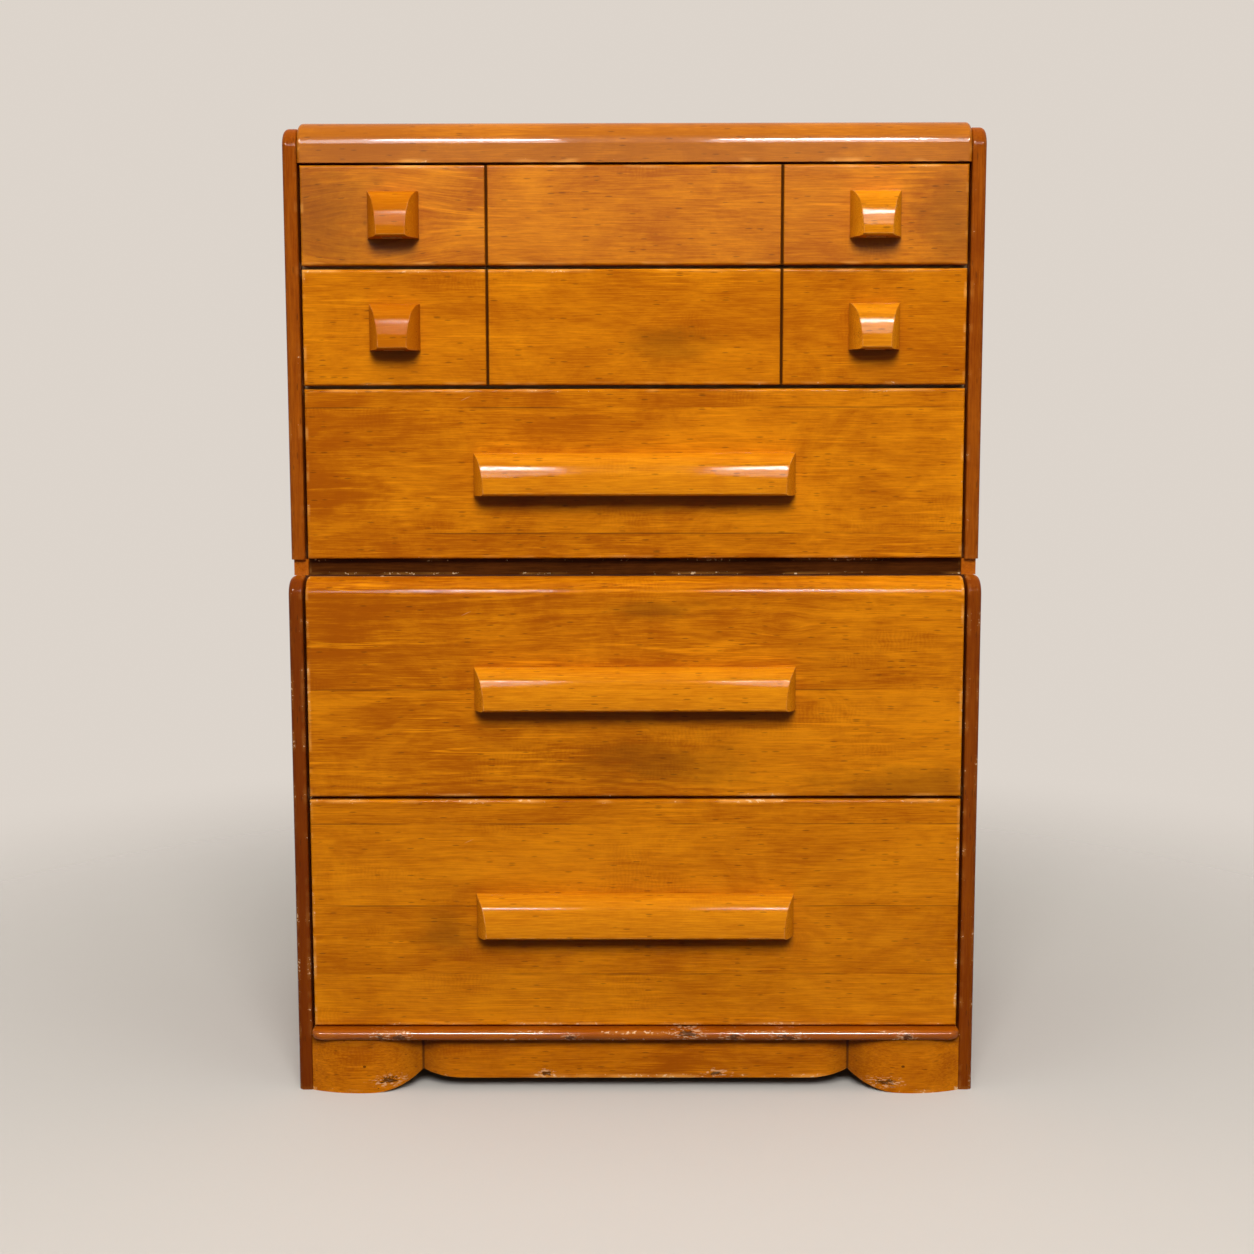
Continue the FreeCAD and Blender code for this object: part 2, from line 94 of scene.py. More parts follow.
# Places along X of the grooves in the upper fronts, and of the joints between the apron and the feet
GROOVES = (-0.182, 0.182)
FOOT_JOINTS = (-0.273, 0.273)

# Turn that lays a pattern's grain along an axis of its piece
GRAIN_TURN = {"X": (0, 0, 0), "Y": (0, 0, math.radians(-90)), "Z": (0, math.radians(90), 0)}
SEED_DRIFT = (7.31, 3.17, 5.73)  # how far a seed of 1 moves the grain
BOARD_SEED = 1.37  # seed from one glued board to the next
BOARD_STEP = 0.10  # every second board is deeper by this
OUTSIDE = (9, 9, 9)  # a place far from the dresser, for a mark that isn't there

# Marks on the wood, among them painted shadow below the handles and under the base rail, and painted shade
# in the grooves and beside the seams: the finish whose colour each takes, and how fully it covers the wood
# below it
MARKS = {
    "stain": ("stain", 0.5),
    "handle_shadow": ("stain", 0.7),
    "fleck": ("grime_and_shade", 0.5),
    "pip": ("grime_and_shade", 0.8),
    "glue_line": ("grime_and_shade", 0.6),
    "bare": ("bare_wood", 0.75),
    "torn": ("bare_wood", 0.5),
    "dent": ("grime_and_shade", 0.85),
    "groove": ("grime_and_shade", 0.92),
    "seam_painted_shade": ("stain", 0.45),
    "seam": ("grime_and_shade", 0.75),
}
SCRATCH_DEPTH = 0.55  # how far a scratch goes towards bare wood
PIP_DAMAGE = 0.6  # how far a pip dulls the varnish
COAT_ROUGHNESS = 0.06
BUMP_HEIGHT = 0.0012
VARNISHED = {"pores": 0.35, "bump": 0.10}  # how strongly the fibre and the whole skin stand out
BARE = {"pores": 1.6, "bump": 0.30}
BARE_HAZE = 0.03  # soft veil on wood without varnish
HIDDEN_RISE = 0.05  # lifts the worn rim of a hidden top out of its piece
WAIST_GLOSS = 0.4  # share of the gloss that is left on the dark waist rail
HANDLED_GLOSS = 0.3  # share of the gloss that is left on the knobs that are used most
LEFT_KNOB_SHADE = 0.36  # and how much deeper in tone the left knobs are painted, as painted shade

# Limits in modelling
MERGED_WITHIN = 1e-5
FLAT_WITHIN = math.radians(0.4)
RIDGE_OVER = math.radians(24)
SMOOTH_HANDLE = math.radians(35)
SMOOTH_HEAD = math.radians(30)
FACES_UP = 0.9  # least Z of the normal of a face that looks up

# Studio: the windows and their bright cores mirror in the varnish, and the key and sky lamps light the wood
AIM = (0, -0.2, 0.6)  # what all of them but the sky lamp point at
WINDOWS = {"left": (-0.67, -3.5, 2.4), "right": (0.68, -3.5, 2.4)}
WINDOW_SIZE = (0.90, 1.2)
CORES = {"left": (-0.55, -3.4, 2.72), "right": (0.63, -3.4, 2.72)}
CORE_WIDTHS = {"left": 0.60, "right": 0.72}
CORE_HEIGHT = 0.28
SIDE_WINDOWS = {"left": (-2.5, -3.2, 2.7), "right": (2.5, -3.2, 2.7)}
SIDE_WINDOW_SIZE = (1.3, 0.4)
KEY_PLACE = (0.1, -5.0, 4.1)
KEY_SIZE = (3.4, 2.2)
SKY_PLACE = (0, -0.6, 3.6)
SKY_SIZE = (3.0, 2.4)
SKY_AIM = (0, 0, 0.6)
UP_FRONT = (0, -0.8, 0.6)  # direction in which the soft light of the world is weakest
FADED_AT = 0.98  # share of the floor's reach at which it has faded out
SENSOR_WIDTH = 36  # millimetres


# Settings that a user would change

def colour(name, description, default):
    return FloatVectorProperty(name=name, description=description, default=default,
                               subtype="COLOR", min=0, max=1)


def length(name, description, default):
    return FloatProperty(name=name, description=description, default=default, unit="LENGTH")


def power(name, description, default):
    return FloatProperty(name=name, description=description, default=default, unit="POWER")


class DresserFinishes(bpy.types.PropertyGroup):
    """Colours and gloss of the woods and the steel."""
    front_pale: colour("Front, pale", "Palest figure of the drawer fronts", (0.65, 0.210, 0.003))
    front_deep: colour("Front, deep", "Deepest figure of the drawer fronts", (0.31, 0.068, 0.001))
    case_pale: colour("Case, pale", "Palest figure of the sides", (0.46, 0.115, 0.004))
    case_deep: colour("Case, deep", "Deepest figure of the sides", (0.24, 0.044, 0.001))
    top_pale: colour("Top, pale", "Palest figure of the top board", (0.55, 0.172, 0.004))
    top_deep: colour("Top, deep", "Deepest figure of the top board", (0.33, 0.088, 0.002))
    # Used both for the front edges' own redder tone and for painted shade on them
    edge_shade: colour("Edge shade", "Redder tone of the front edges of the sides", (0.115, 0.016, 0.001))
    pull_pale: colour("Pull, pale", "Palest figure of the knobs and pulls", (0.69, 0.245, 0.005))
    pull_deep: colour("Pull, deep", "Deepest figure of the knobs and pulls", (0.41, 0.104, 0.002))
    base_pale: colour("Base, pale", "Palest figure of the base", (0.62, 0.185, 0.003))
    base_deep: colour("Base, deep", "Deepest figure of the base", (0.31, 0.066, 0.001))
    waist_pale: colour("Waist, pale", "Palest figure of the dark waist rail", (0.085, 0.022, 0.003))
    waist_deep: colour("Waist, deep", "Deepest figure of the dark waist rail", (0.030, 0.007, 0.001))
    drawer_pale: colour("Drawer wood, pale", "Palest figure of the drawer boxes", (0.66, 0.45, 0.24))
    drawer_deep: colour("Drawer wood, deep", "Deepest figure of the drawer boxes", (0.44, 0.27, 0.12))
    frame_pale: colour("Frame wood, pale", "Palest figure of the inner frames", (0.50, 0.33, 0.17))
    frame_deep: colour("Frame wood, deep", "Deepest figure of the inner frames", (0.30, 0.18, 0.08))
    ply_pale: colour("Plywood, pale", "Palest figure of the backs and bottoms", (0.47, 0.29, 0.14))
    ply_deep: colour("Plywood, deep", "Deepest figure of the backs and bottoms", (0.27, 0.15, 0.065))
    bare_wood: colour("Bare wood", "Wood that shows where the varnish is chipped", (0.80, 0.55, 0.30))
    # Paler worn edges, which also serve as a painted highlight along the edges
    rubbed_and_glint: colour("Rubbed And Glint", "Edges where the varnish is worn thin", (0.84, 0.37, 0.07))
    # Colour of the real dirt in glue lines, joints and dents, and of the painted shade in grooves
    grime_and_shade: colour("Grime And Shade", "Dirt in grooves, glue lines and dents", (0.055, 0.016, 0.003))
    # Colour of the dark stains, and of the painted shadows and painted shade
    stain: colour("Stain And Shadow", "Dark patches in the figure", (0.15, 0.040, 0.002))
    screw_steel: colour("Screw steel", "Steel of the handle screws", (0.52, 0.50, 0.47))
    screw_rust: colour("Screw rust", "Rust on the handle screws", (0.20, 0.09, 0.04))
    nail_steel: colour("Nail steel", "Steel of the nails in the backs", (0.34, 0.32, 0.30))
    nail_rust: colour("Nail rust", "Rust on the nails in the backs", (0.13, 0.06, 0.03))
    gloss: FloatProperty(name="Gloss", description="How much of the varnish still shines",
                         default=0.95, min=0, max=1, subtype="FACTOR")


class DresserFittings(bpy.types.PropertyGroup):
    """Sizes of the small forms that are added to the cabinet work."""
    ridge: length("Ridge", "Width of the worn ridges of the knobs and pulls", 0.0022)
    screw_head: length("Screw head", "Radius of the screw heads behind the handles", 0.0045)
    screw_rise: length("Screw rise", "How far a screw head stands out", 0.0024)
    screw_slot: length("Screw slot", "Width of the slot in a screw head", 0.0011)
    nail_head: length("Nail head", "Radius of the nail heads in the backs", 0.0024)
    nail_rise: length("Nail rise", "How far a nail head stands out", 0.0005)
    nail_pitch: length("Nail pitch", "Distance between the nails in the backs", 0.092)
    nail_edge: length("Nail edge", "Distance of the nails from the edge of the back", 0.0045)
    ridge_steps: IntProperty(name="Ridge steps", description="Faces across a worn ridge", default=3, min=1)


class DresserStudio(bpy.types.PropertyGroup):
    """Floor, light and camera."""
    floor_colour: colour("Floor", "Colour of the plain floor", (0.56, 0.525, 0.48))
    backdrop: colour("Backdrop", "Colour behind the dresser", (0.72, 0.66, 0.60))
    floor_bounce: colour("Floor bounce", "Colour that the floor throws back at the dresser",
                         (0.10, 0.075, 0.055))
    floor_solid: length("Floor, solid", "Radius out to which the floor shows fully", 0.6)
    floor_reach: length("Floor, reach", "Radius at which the floor has faded into the backdrop", 2.1)
    fill: FloatProperty(name="Fill", description="Strength of the soft light from the front", default=0.16)
    fill_behind: FloatProperty(name="Fill behind", description="Strength of the soft light from the back",
                               default=0.55)
    window_light: power("Window light", "Power of each window that mirrors in the varnish", 95)
    core_light: power("Core light", "Power of a window's bright core, for each metre across", 180)
    side_light: power("Side light", "Power of each window that mirrors from the side", 280)
    key_light: power("Key light", "Power of the soft lamp in front", 405)
    sky_light: power("Sky light", "Power of the soft lamp overhead", 56)
    camera_place: FloatVectorProperty(name="Camera place", description="Where the camera stands",
                                      default=(-0.0006, -2.3315, 0.8343),
                                      subtype="TRANSLATION", unit="LENGTH")
    camera_turn: FloatVectorProperty(name="Camera turn", description="Pitch, roll and yaw of the camera",
                                     default=(math.radians(83.6), math.radians(0.1), math.radians(0.234)),
                                     subtype="EULER", unit="ROTATION")
    camera_lens: FloatProperty(name="Lens", description="Focal length in millimetres on a 36 mm sensor",
                               default=48.8)


# Shader nodes

def put(tree, kind, inputs=(), **options):
    """Adds a node, sets its options, and gives each named input a value or a link."""
    made = tree.nodes.new(kind)
    for option, setting in options.items():
        setattr(made, option, setting)
    for name, given in dict(inputs).items():
        if isinstance(given, bpy.types.NodeSocket):
            tree.links.new(given, made.inputs[name])
        else:
            made.inputs[name].default_value = given
    return made


def calc(tree, operation, *values, clamp=False):
    return put(tree, "ShaderNodeMath", enumerate(values), operation=operation, use_clamp=clamp).outputs[0]


def plus(tree, first, second, clamp=False):
    return calc(tree, "ADD", first, second, clamp=clamp)


def minus(tree, first, second, clamp=False):
    return calc(tree, "SUBTRACT", first, second, clamp=clamp)


def times(tree, first, second, clamp=False):
    return calc(tree, "MULTIPLY", first, second, clamp=clamp)


def vector_calc(tree, operation, *values, scale=None):
    """A sum on vectors, or on a vector and a number."""
    given = dict(enumerate(values))
    if scale is not None:
        given["Scale"] = scale
    made = put(tree, "ShaderNodeVectorMath", given, operation=operation)
    return made.outputs["Value" if operation in ("LENGTH", "DOT_PRODUCT") else "Vector"]


def axis(tree, vector, letter):
    """One of the three parts of a vector."""
    return put(tree, "ShaderNodeSeparateXYZ", {0: vector}).outputs[letter]


def ramp(tree, value, low, high, to_low=0.0, to_high=1.0):
    """A value's share of a span, held between two ends."""
    made = put(tree, "ShaderNodeMapRange", {"Value": value, "From Min": low, "From Max": high,
                                            "To Min": to_low, "To Max": to_high},
               interpolation_type="SMOOTHSTEP")
    return made.outputs["Result"]


def noise(tree, place, scale, detail=2.0, roughness=0.5, distortion=0.0):
    """Noise from 0 to 1, stretched by its scale along each axis."""
    stretched = vector_calc(tree, "MULTIPLY", place, scale)
    made = put(tree, "ShaderNodeTexNoise", {"Vector": stretched, "Scale": 1.0, "Detail": detail,
                                            "Roughness": roughness, "Distortion": distortion})
    return made.outputs["Fac"]


def wobble(tree, place, scale, **detail):
    """Noise about 0, half of it above and half below."""
    return minus(tree, noise(tree, place, scale, **detail), 0.5)


def cells(tree, place, scale):
    """Scattered cells: distance from the middle of the nearest one, and its own random colour."""
    stretched = vector_calc(tree, "MULTIPLY", place, scale)
    made = put(tree, "ShaderNodeTexVoronoi", {"Vector": stretched, "Scale": 1.0})
    chance = put(tree, "ShaderNodeSeparateColor", {"Color": made.outputs["Color"]})
    return made.outputs["Distance"], chance.outputs


def opaque(rgb):
    return (*rgb, 1.0)


def blend(tree, share, base, other):
    return put(tree, "ShaderNodeMix", {0: share, 6: base, 7: other}, data_type="RGBA").outputs[2]


def cover(tree, shade, mask, share, rgb):
    """Lays a colour over a shade where a mask is, at most at the given share."""
    return blend(tree, times(tree, mask, share), shade, opaque(rgb))


def mark(tree, shade, mask, kind):
    """Lays one of the marks in the table over a shade."""
    finish, share = MARKS[kind]
    return cover(tree, shade, mask, share, getattr(bpy.context.scene.dresser_finishes, finish))


def object_place(tree):
    return put(tree, "ShaderNodeTexCoord").outputs["Object"]


def new_material(name):
    """A material with no nodes yet, and its tree."""
    material = bpy.data.materials.new(name)
    material.use_nodes = True
    material.node_tree.nodes.clear()
    return material, material.node_tree


def show(tree, shader):
    put(tree, "ShaderNodeOutputMaterial", {"Surface": shader.outputs[0]})


# Shader node groups

def new_group(name, inputs, outputs):
    """A shader node group with named sockets: its tree, its inputs and its output node."""
    tree = bpy.data.node_groups.new(name, "ShaderNodeTree")
    for label, kind, default in inputs:
        socket = tree.interface.new_socket(label, in_out="INPUT", socket_type="NodeSocket" + kind)
        socket.default_value = default
    for label in outputs:
        tree.interface.new_socket(label, in_out="OUTPUT", socket_type="NodeSocketFloat")
    return tree, tree.nodes.new("NodeGroupInput").outputs, tree.nodes.new("NodeGroupOutput")


def label_of(name):
    return name.replace("_", " ").title()


def give(tree, out, **values):
    """Links values to a group's outputs by name."""
    for name, socket in values.items():
        tree.links.new(socket, out.inputs[label_of(name)])


def use(tree, group, **inputs):
    """Places a group, its inputs given by name, and returns its outputs."""
    named = {label_of(name): given for name, given in inputs.items()}
    return put(tree, "ShaderNodeGroup", named, node_tree=bpy.data.node_groups[group]).outputs


def make_grain_group():
    """Maple whose grain runs along X, cut from a log whose heart lies behind it."""
    tree, given, out = new_group(
        "Maple Grain",
        [("Place", "Vector", (0, 0, 0)), ("Seed", "Float", 0), ("Knot", "Vector", OUTSIDE),
         ("Knot Reach", "Float", 0.05)],
        ("Rings", "Fibre", "Cloud", "Streaks", "Curl", "Flecks"))
    rings_in_a_metre, rings_for_seed = 150.0, 11.3
    behind, upright = (0, 0.11, 0.03), (0, 1, 1)
    wave_depth, ripple_depth = 0.04, 0.006
    knot_shape, knot_push = (0.5, 1, 1), (0, 0.85, 0.85)

    # The grain swells round a knot
    from_knot = vector_calc(tree, "SUBTRACT", given["Place"], given["Knot"])
    away = vector_calc(tree, "MULTIPLY", from_knot, knot_shape)
    nearness = calc(tree, "DIVIDE", vector_calc(tree, "LENGTH", away), given["Knot Reach"])
    swell = calc(tree, "EXPONENT", times(tree, times(tree, nearness, nearness), -1.0))
    push = vector_calc(tree, "MULTIPLY", vector_calc(tree, "SCALE", away, scale=swell), knot_push)
    bent = vector_calc(tree, "SUBTRACT", given["Place"], push)
    place = vector_calc(tree, "ADD", bent, vector_calc(tree, "SCALE", SEED_DRIFT, scale=given["Seed"]))

    # Growth rings about the heart, uneven along their length
    waves = times(tree, wobble(tree, place, (3.2, 7, 9), detail=3), wave_depth)
    ripple = times(tree, wobble(tree, place, (22, 40, 60), detail=2), ripple_depth)
    heart = vector_calc(tree, "MULTIPLY", vector_calc(tree, "ADD", bent, behind), upright)
    radius = plus(tree, vector_calc(tree, "LENGTH", heart), plus(tree, waves, ripple))
    count = plus(tree, times(tree, radius, rings_in_a_metre), times(tree, given["Seed"], rings_for_seed))
    rings = put(tree, "ShaderNodeTexNoise", {"W": count, "Scale": 1.0, "Detail": 3.0, "Roughness": 0.6},
                noise_dimensions="1D").outputs["Fac"]

    # Fine fibre, broad clouds, curl across the grain, pale streaks and dark flecks along it
    fibre = noise(tree, place, (26, 640, 640), detail=4, roughness=0.7)
    cloud = noise(tree, place, (7, 11, 12), detail=8, roughness=0.7, distortion=0.6)
    bars = put(tree, "ShaderNodeTexWave", {"Vector": place, "Scale": 62.0, "Distortion": 9.0, "Detail": 2.0,
                                           "Detail Scale": 1.2}, bands_direction="X").outputs["Fac"]
    curl = times(tree, bars, ramp(tree, noise(tree, place, (6, 12, 15), detail=2), 0.56, 0.72))
    lines = ramp(tree, noise(tree, place, (9, 240, 240), detail=2, roughness=0.6), 0.54, 0.70)
    streaks = times(tree, lines, ramp(tree, noise(tree, place, (4, 11, 16), detail=2), 0.46, 0.64))
    distance, chance = cells(tree, place, (70, 420, 420))
    rare = calc(tree, "LESS_THAN", chance["Red"], 0.08)
    flecks = times(tree, rare, ramp(tree, distance, 0.42, 0.20))
    give(tree, out, rings=rings, fibre=fibre, cloud=cloud, streaks=streaks, curl=curl, flecks=flecks)


def make_joint_group():
    """Boards glued edge to edge: which one a point is on, and the thin dark line between two."""
    joints = ("Joint 1", "Joint 2", "Joint 3")
    below_all = -9
    line_edge, line_full = 0.0011, 0.0003
    inputs = [("Height", "Float", 0), ("Place", "Vector", (0, 0, 0))]
    inputs += [(name, "Float", below_all) for name in joints]
    tree, given, out = new_group("Glued Boards", inputs, ("Board", "Line"))
    board, line = 0.0, 0.0
    for name in joints:
        over = minus(tree, given["Height"], given[name])
        board = plus(tree, calc(tree, "GREATER_THAN", over, 0.0), board)
        near = ramp(tree, calc(tree, "ABSOLUTE", over), line_edge, line_full)
        line = calc(tree, "MAXIMUM", near, line)
    broken = ramp(tree, noise(tree, given["Place"], (9, 9, 30), detail=2), 0.36, 0.60)
    give(tree, out, board=board, line=times(tree, line, broken))


def make_wear_group():
    """Wear along the edges of a board between two corners: paler worn rims, which are also a painted
    highlight along the edges, and small chips.
    """
    tree, given, out = new_group(
        "Edge Wear",
        [("Place", "Vector", (0, 0, 0)), ("Low", "Vector", (0, 0, 0)), ("High", "Vector", (1, 1, 1)),
         ("Reach", "Float", 0.006), ("Amount", "Float", 0.5)],
        ("Rubbed And Glint", "Chips"))
    over_low = vector_calc(tree, "SUBTRACT", given["Place"], given["Low"])
    under_high = vector_calc(tree, "SUBTRACT", given["High"], given["Place"])
    room = vector_calc(tree, "MINIMUM", over_low, under_high)
    x, y, z = put(tree, "ShaderNodeSeparateXYZ", {0: room}).outputs
    # The second least of the three rooms is the distance from the nearest edge
    edge = calc(tree, "MAXIMUM", calc(tree, "MINIMUM", x, y),
                calc(tree, "MINIMUM", calc(tree, "MAXIMUM", x, y), z))
    rim = minus(tree, 1.0, calc(tree, "DIVIDE", edge, given["Reach"]), clamp=True)
    broad = noise(tree, given["Place"], (17, 30, 40), detail=2)
    small = noise(tree, given["Place"], (170, 260, 260), detail=3, roughness=0.6)
    small_share, broad_share, level_for_amount = 0.65, 0.35, -0.22
    gathered = plus(tree, times(tree, small, small_share), times(tree, broad, broad_share))
    spare = times(tree, given["Amount"], level_for_amount)
    for label, spots, start, soft in (("Rubbed And Glint", broad, 0.56, 0.16), ("Chips", gathered, 0.69, 0.025)):
        level = plus(tree, spare, start)
        found = calc(tree, "DIVIDE", minus(tree, spots, level), soft, clamp=True)
        tree.links.new(times(tree, found, ramp(tree, rim, 0.0, 0.6)), out.inputs[label])


def make_marks_group():
    """Marks of long use: dark pips, pale scratches and dull smudges."""
    tree, given, out = new_group("Marks of Use", [("Place", "Vector", (0, 0, 0)), ("Amount", "Float", 0.5)],
                                 ("Pips", "Scratches", "Smudge"))
    pip_share, pip_size = 0.2, 0.09
    scratch_share, scratch_turn = 0.0015, math.radians(24)
    distance, chance = cells(tree, given["Place"], (34, 34, 46))
    few = calc(tree, "LESS_THAN", chance["Green"], times(tree, given["Amount"], pip_share))
    size = times(tree, chance["Blue"], pip_size)
    pips = times(tree, few, ramp(tree, minus(tree, size, distance), -0.010, 0.006))
    turned = put(tree, "ShaderNodeVectorRotate", {"Vector": given["Place"], "Angle": scratch_turn},
                 rotation_type="Y_AXIS").outputs[0]
    distance, chance = cells(tree, turned, (26, 40, 330))
    few = calc(tree, "LESS_THAN", chance["Red"], times(tree, given["Amount"], scratch_share))
    scratches = times(tree, few, ramp(tree, distance, 0.34, 0.16))
    smudge = noise(tree, given["Place"], (9, 9, 12), detail=4, roughness=0.6)
    give(tree, out, pips=pips, scratches=scratches, smudge=smudge)


SPOT_INPUTS = (("Place", "Vector", (0, 0, 0)), ("Centre", "Vector", OUTSIDE),
               ("Spread", "Vector", (1, 1, 1)))


def ragged_reach(tree, given, scale, roughness, swing):
    """Distance from the centre of a spot, counted in its spread, with a ragged outline."""
    away = vector_calc(tree, "SUBTRACT", given["Place"], given["Centre"])
    away = vector_calc(tree, "DIVIDE", away, given["Spread"])
    ragged = wobble(tree, given["Place"], scale, detail=4, roughness=roughness)
    return plus(tree, vector_calc(tree, "LENGTH", away), times(tree, ragged, swing))


def make_stain_and_shadow_group():
    """A soft, uneven dark patch round a point."""
    tree, given, out = new_group("Stain And Shadow", SPOT_INPUTS, ("Patch",))
    reach = ragged_reach(tree, given, (24, 24, 60), roughness=0.65, swing=1.5)
    give(tree, out, patch=ramp(tree, reach, 1.05, 0.1))


def make_nick_group():
    """A knock round a point: a ragged dark heart and the pale torn wood about it."""
    tree, given, out = new_group("Nick", SPOT_INPUTS, ("Heart", "Rim"))
    reach = ragged_reach(tree, given, (130, 130, 320), roughness=0.7, swing=2.8)
    torn = ramp(tree, noise(tree, given["Place"], (170, 170, 520), detail=2), 0.50, 0.62)
    give(tree, out, heart=ramp(tree, reach, 0.62, 0.40), rim=times(tree, torn, ramp(tree, reach, 1.5, 0.8)))


def make_varnish_group():
    """Skin of the varnish: its roughness, its height and how much of it is left."""
    tree, given, out = new_group(
        "Varnish",
        [("Place", "Vector", (0, 0, 0)), ("Roughness", "Float", 0.3), ("Smudge", "Float", 0.5),
         ("Damage", "Float", 0), ("Gloss", "Float", 0.4)],
        ("Skin Roughness", "Skin Height", "Coat"))
    fine_height, smudge_dulls = 0.12, 0.07
    damage_dulls, damage_sinks, damage_strips = 0.3, 1.2, 0.8
    peel = noise(tree, given["Place"], (90, 90, 120), detail=2)
    fine = times(tree, noise(tree, given["Place"], (420, 900, 900), detail=1), fine_height)
    dull = times(tree, minus(tree, given["Smudge"], 0.5), smudge_dulls)
    rough = plus(tree, plus(tree, given["Roughness"], dull), times(tree, given["Damage"], damage_dulls),
                 clamp=True)
    height = minus(tree, plus(tree, peel, fine), times(tree, given["Damage"], damage_sinks))
    whole = minus(tree, 1.0, times(tree, given["Damage"], damage_strips))
    left = times(tree, given["Gloss"], whole, clamp=True)
    give(tree, out, skin_roughness=rough, skin_height=height, coat=left)


GROUP_MAKERS = (make_grain_group, make_joint_group, make_wear_group, make_marks_group, make_stain_and_shadow_group,
                make_nick_group, make_varnish_group)


# Woods and metal

def gap_along_x(tree, place, at):
    """Distance along X from an upright line."""
    return calc(tree, "ABSOLUTE", minus(tree, axis(tree, place, "X"), at))


def painted_shadow_below(tree, place, left, right, top):
    """Painted shadow below a handle, between its ends, which fades a little way down."""
    past_end, inside_end, drop, lap = 0.003, 0.009, 0.026, 0.004
    half = (right - left) / 2
    between = ramp(tree, gap_along_x(tree, place, left + half), half + past_end, half - inside_end)
    z = axis(tree, place, "Z")
    under = times(tree, ramp(tree, z, top - drop, top), calc(tree, "LESS_THAN", z, top + lap))
    return times(tree, between, under)


def painted_shade_in_groove(tree, place, groove, face):
    """Painted shade in an upright groove, below the face that it is cut into."""
    edge, full, shallow, deep = 0.0032, 0.0024, 0.0004, 0.0022
    near = ramp(tree, gap_along_x(tree, place, groove), edge, full)
    sunk = ramp(tree, axis(tree, place, "Y"), face + shallow, face + deep)
    return times(tree, near, sunk)


def front_edge(tree, place, face):
    """The front edge of a side, which fades towards the back."""
    fade, full = 0.030, 0.004
    return ramp(tree, axis(tree, place, "Y"), face + fade, face + full)


def seam_shade(tree, shade, place, seam):
    """A joint: a broad painted shade about it, and a thin dark line of dirt in it."""
    shade_reach, line_edge, line_full = 0.040, 0.0026, 0.0006
    gap = gap_along_x(tree, place, seam)
    shade = mark(tree, shade, ramp(tree, gap, shade_reach, 0.0), "seam_painted_shade")
    return mark(tree, shade, ramp(tree, gap, line_edge, line_full), "seam")


def worn_ridges(tree, place, wear):
    """Worn and chipped parts of the marked ridges of a handle; the paler worn parts are also a painted
    highlight on the ridges.
    """
    chipped_share = 0.35
    ridge = put(tree, "ShaderNodeAttribute", attribute_name="ridge").outputs["Fac"]
    spots = ramp(tree, noise(tree, place, (60, 60, 60), detail=3), 0.42, 0.66)
    rubbed_and_glint = times(tree, times(tree, ridge, spots), wear)
    return rubbed_and_glint, times(tree, rubbed_and_glint, chipped_share)


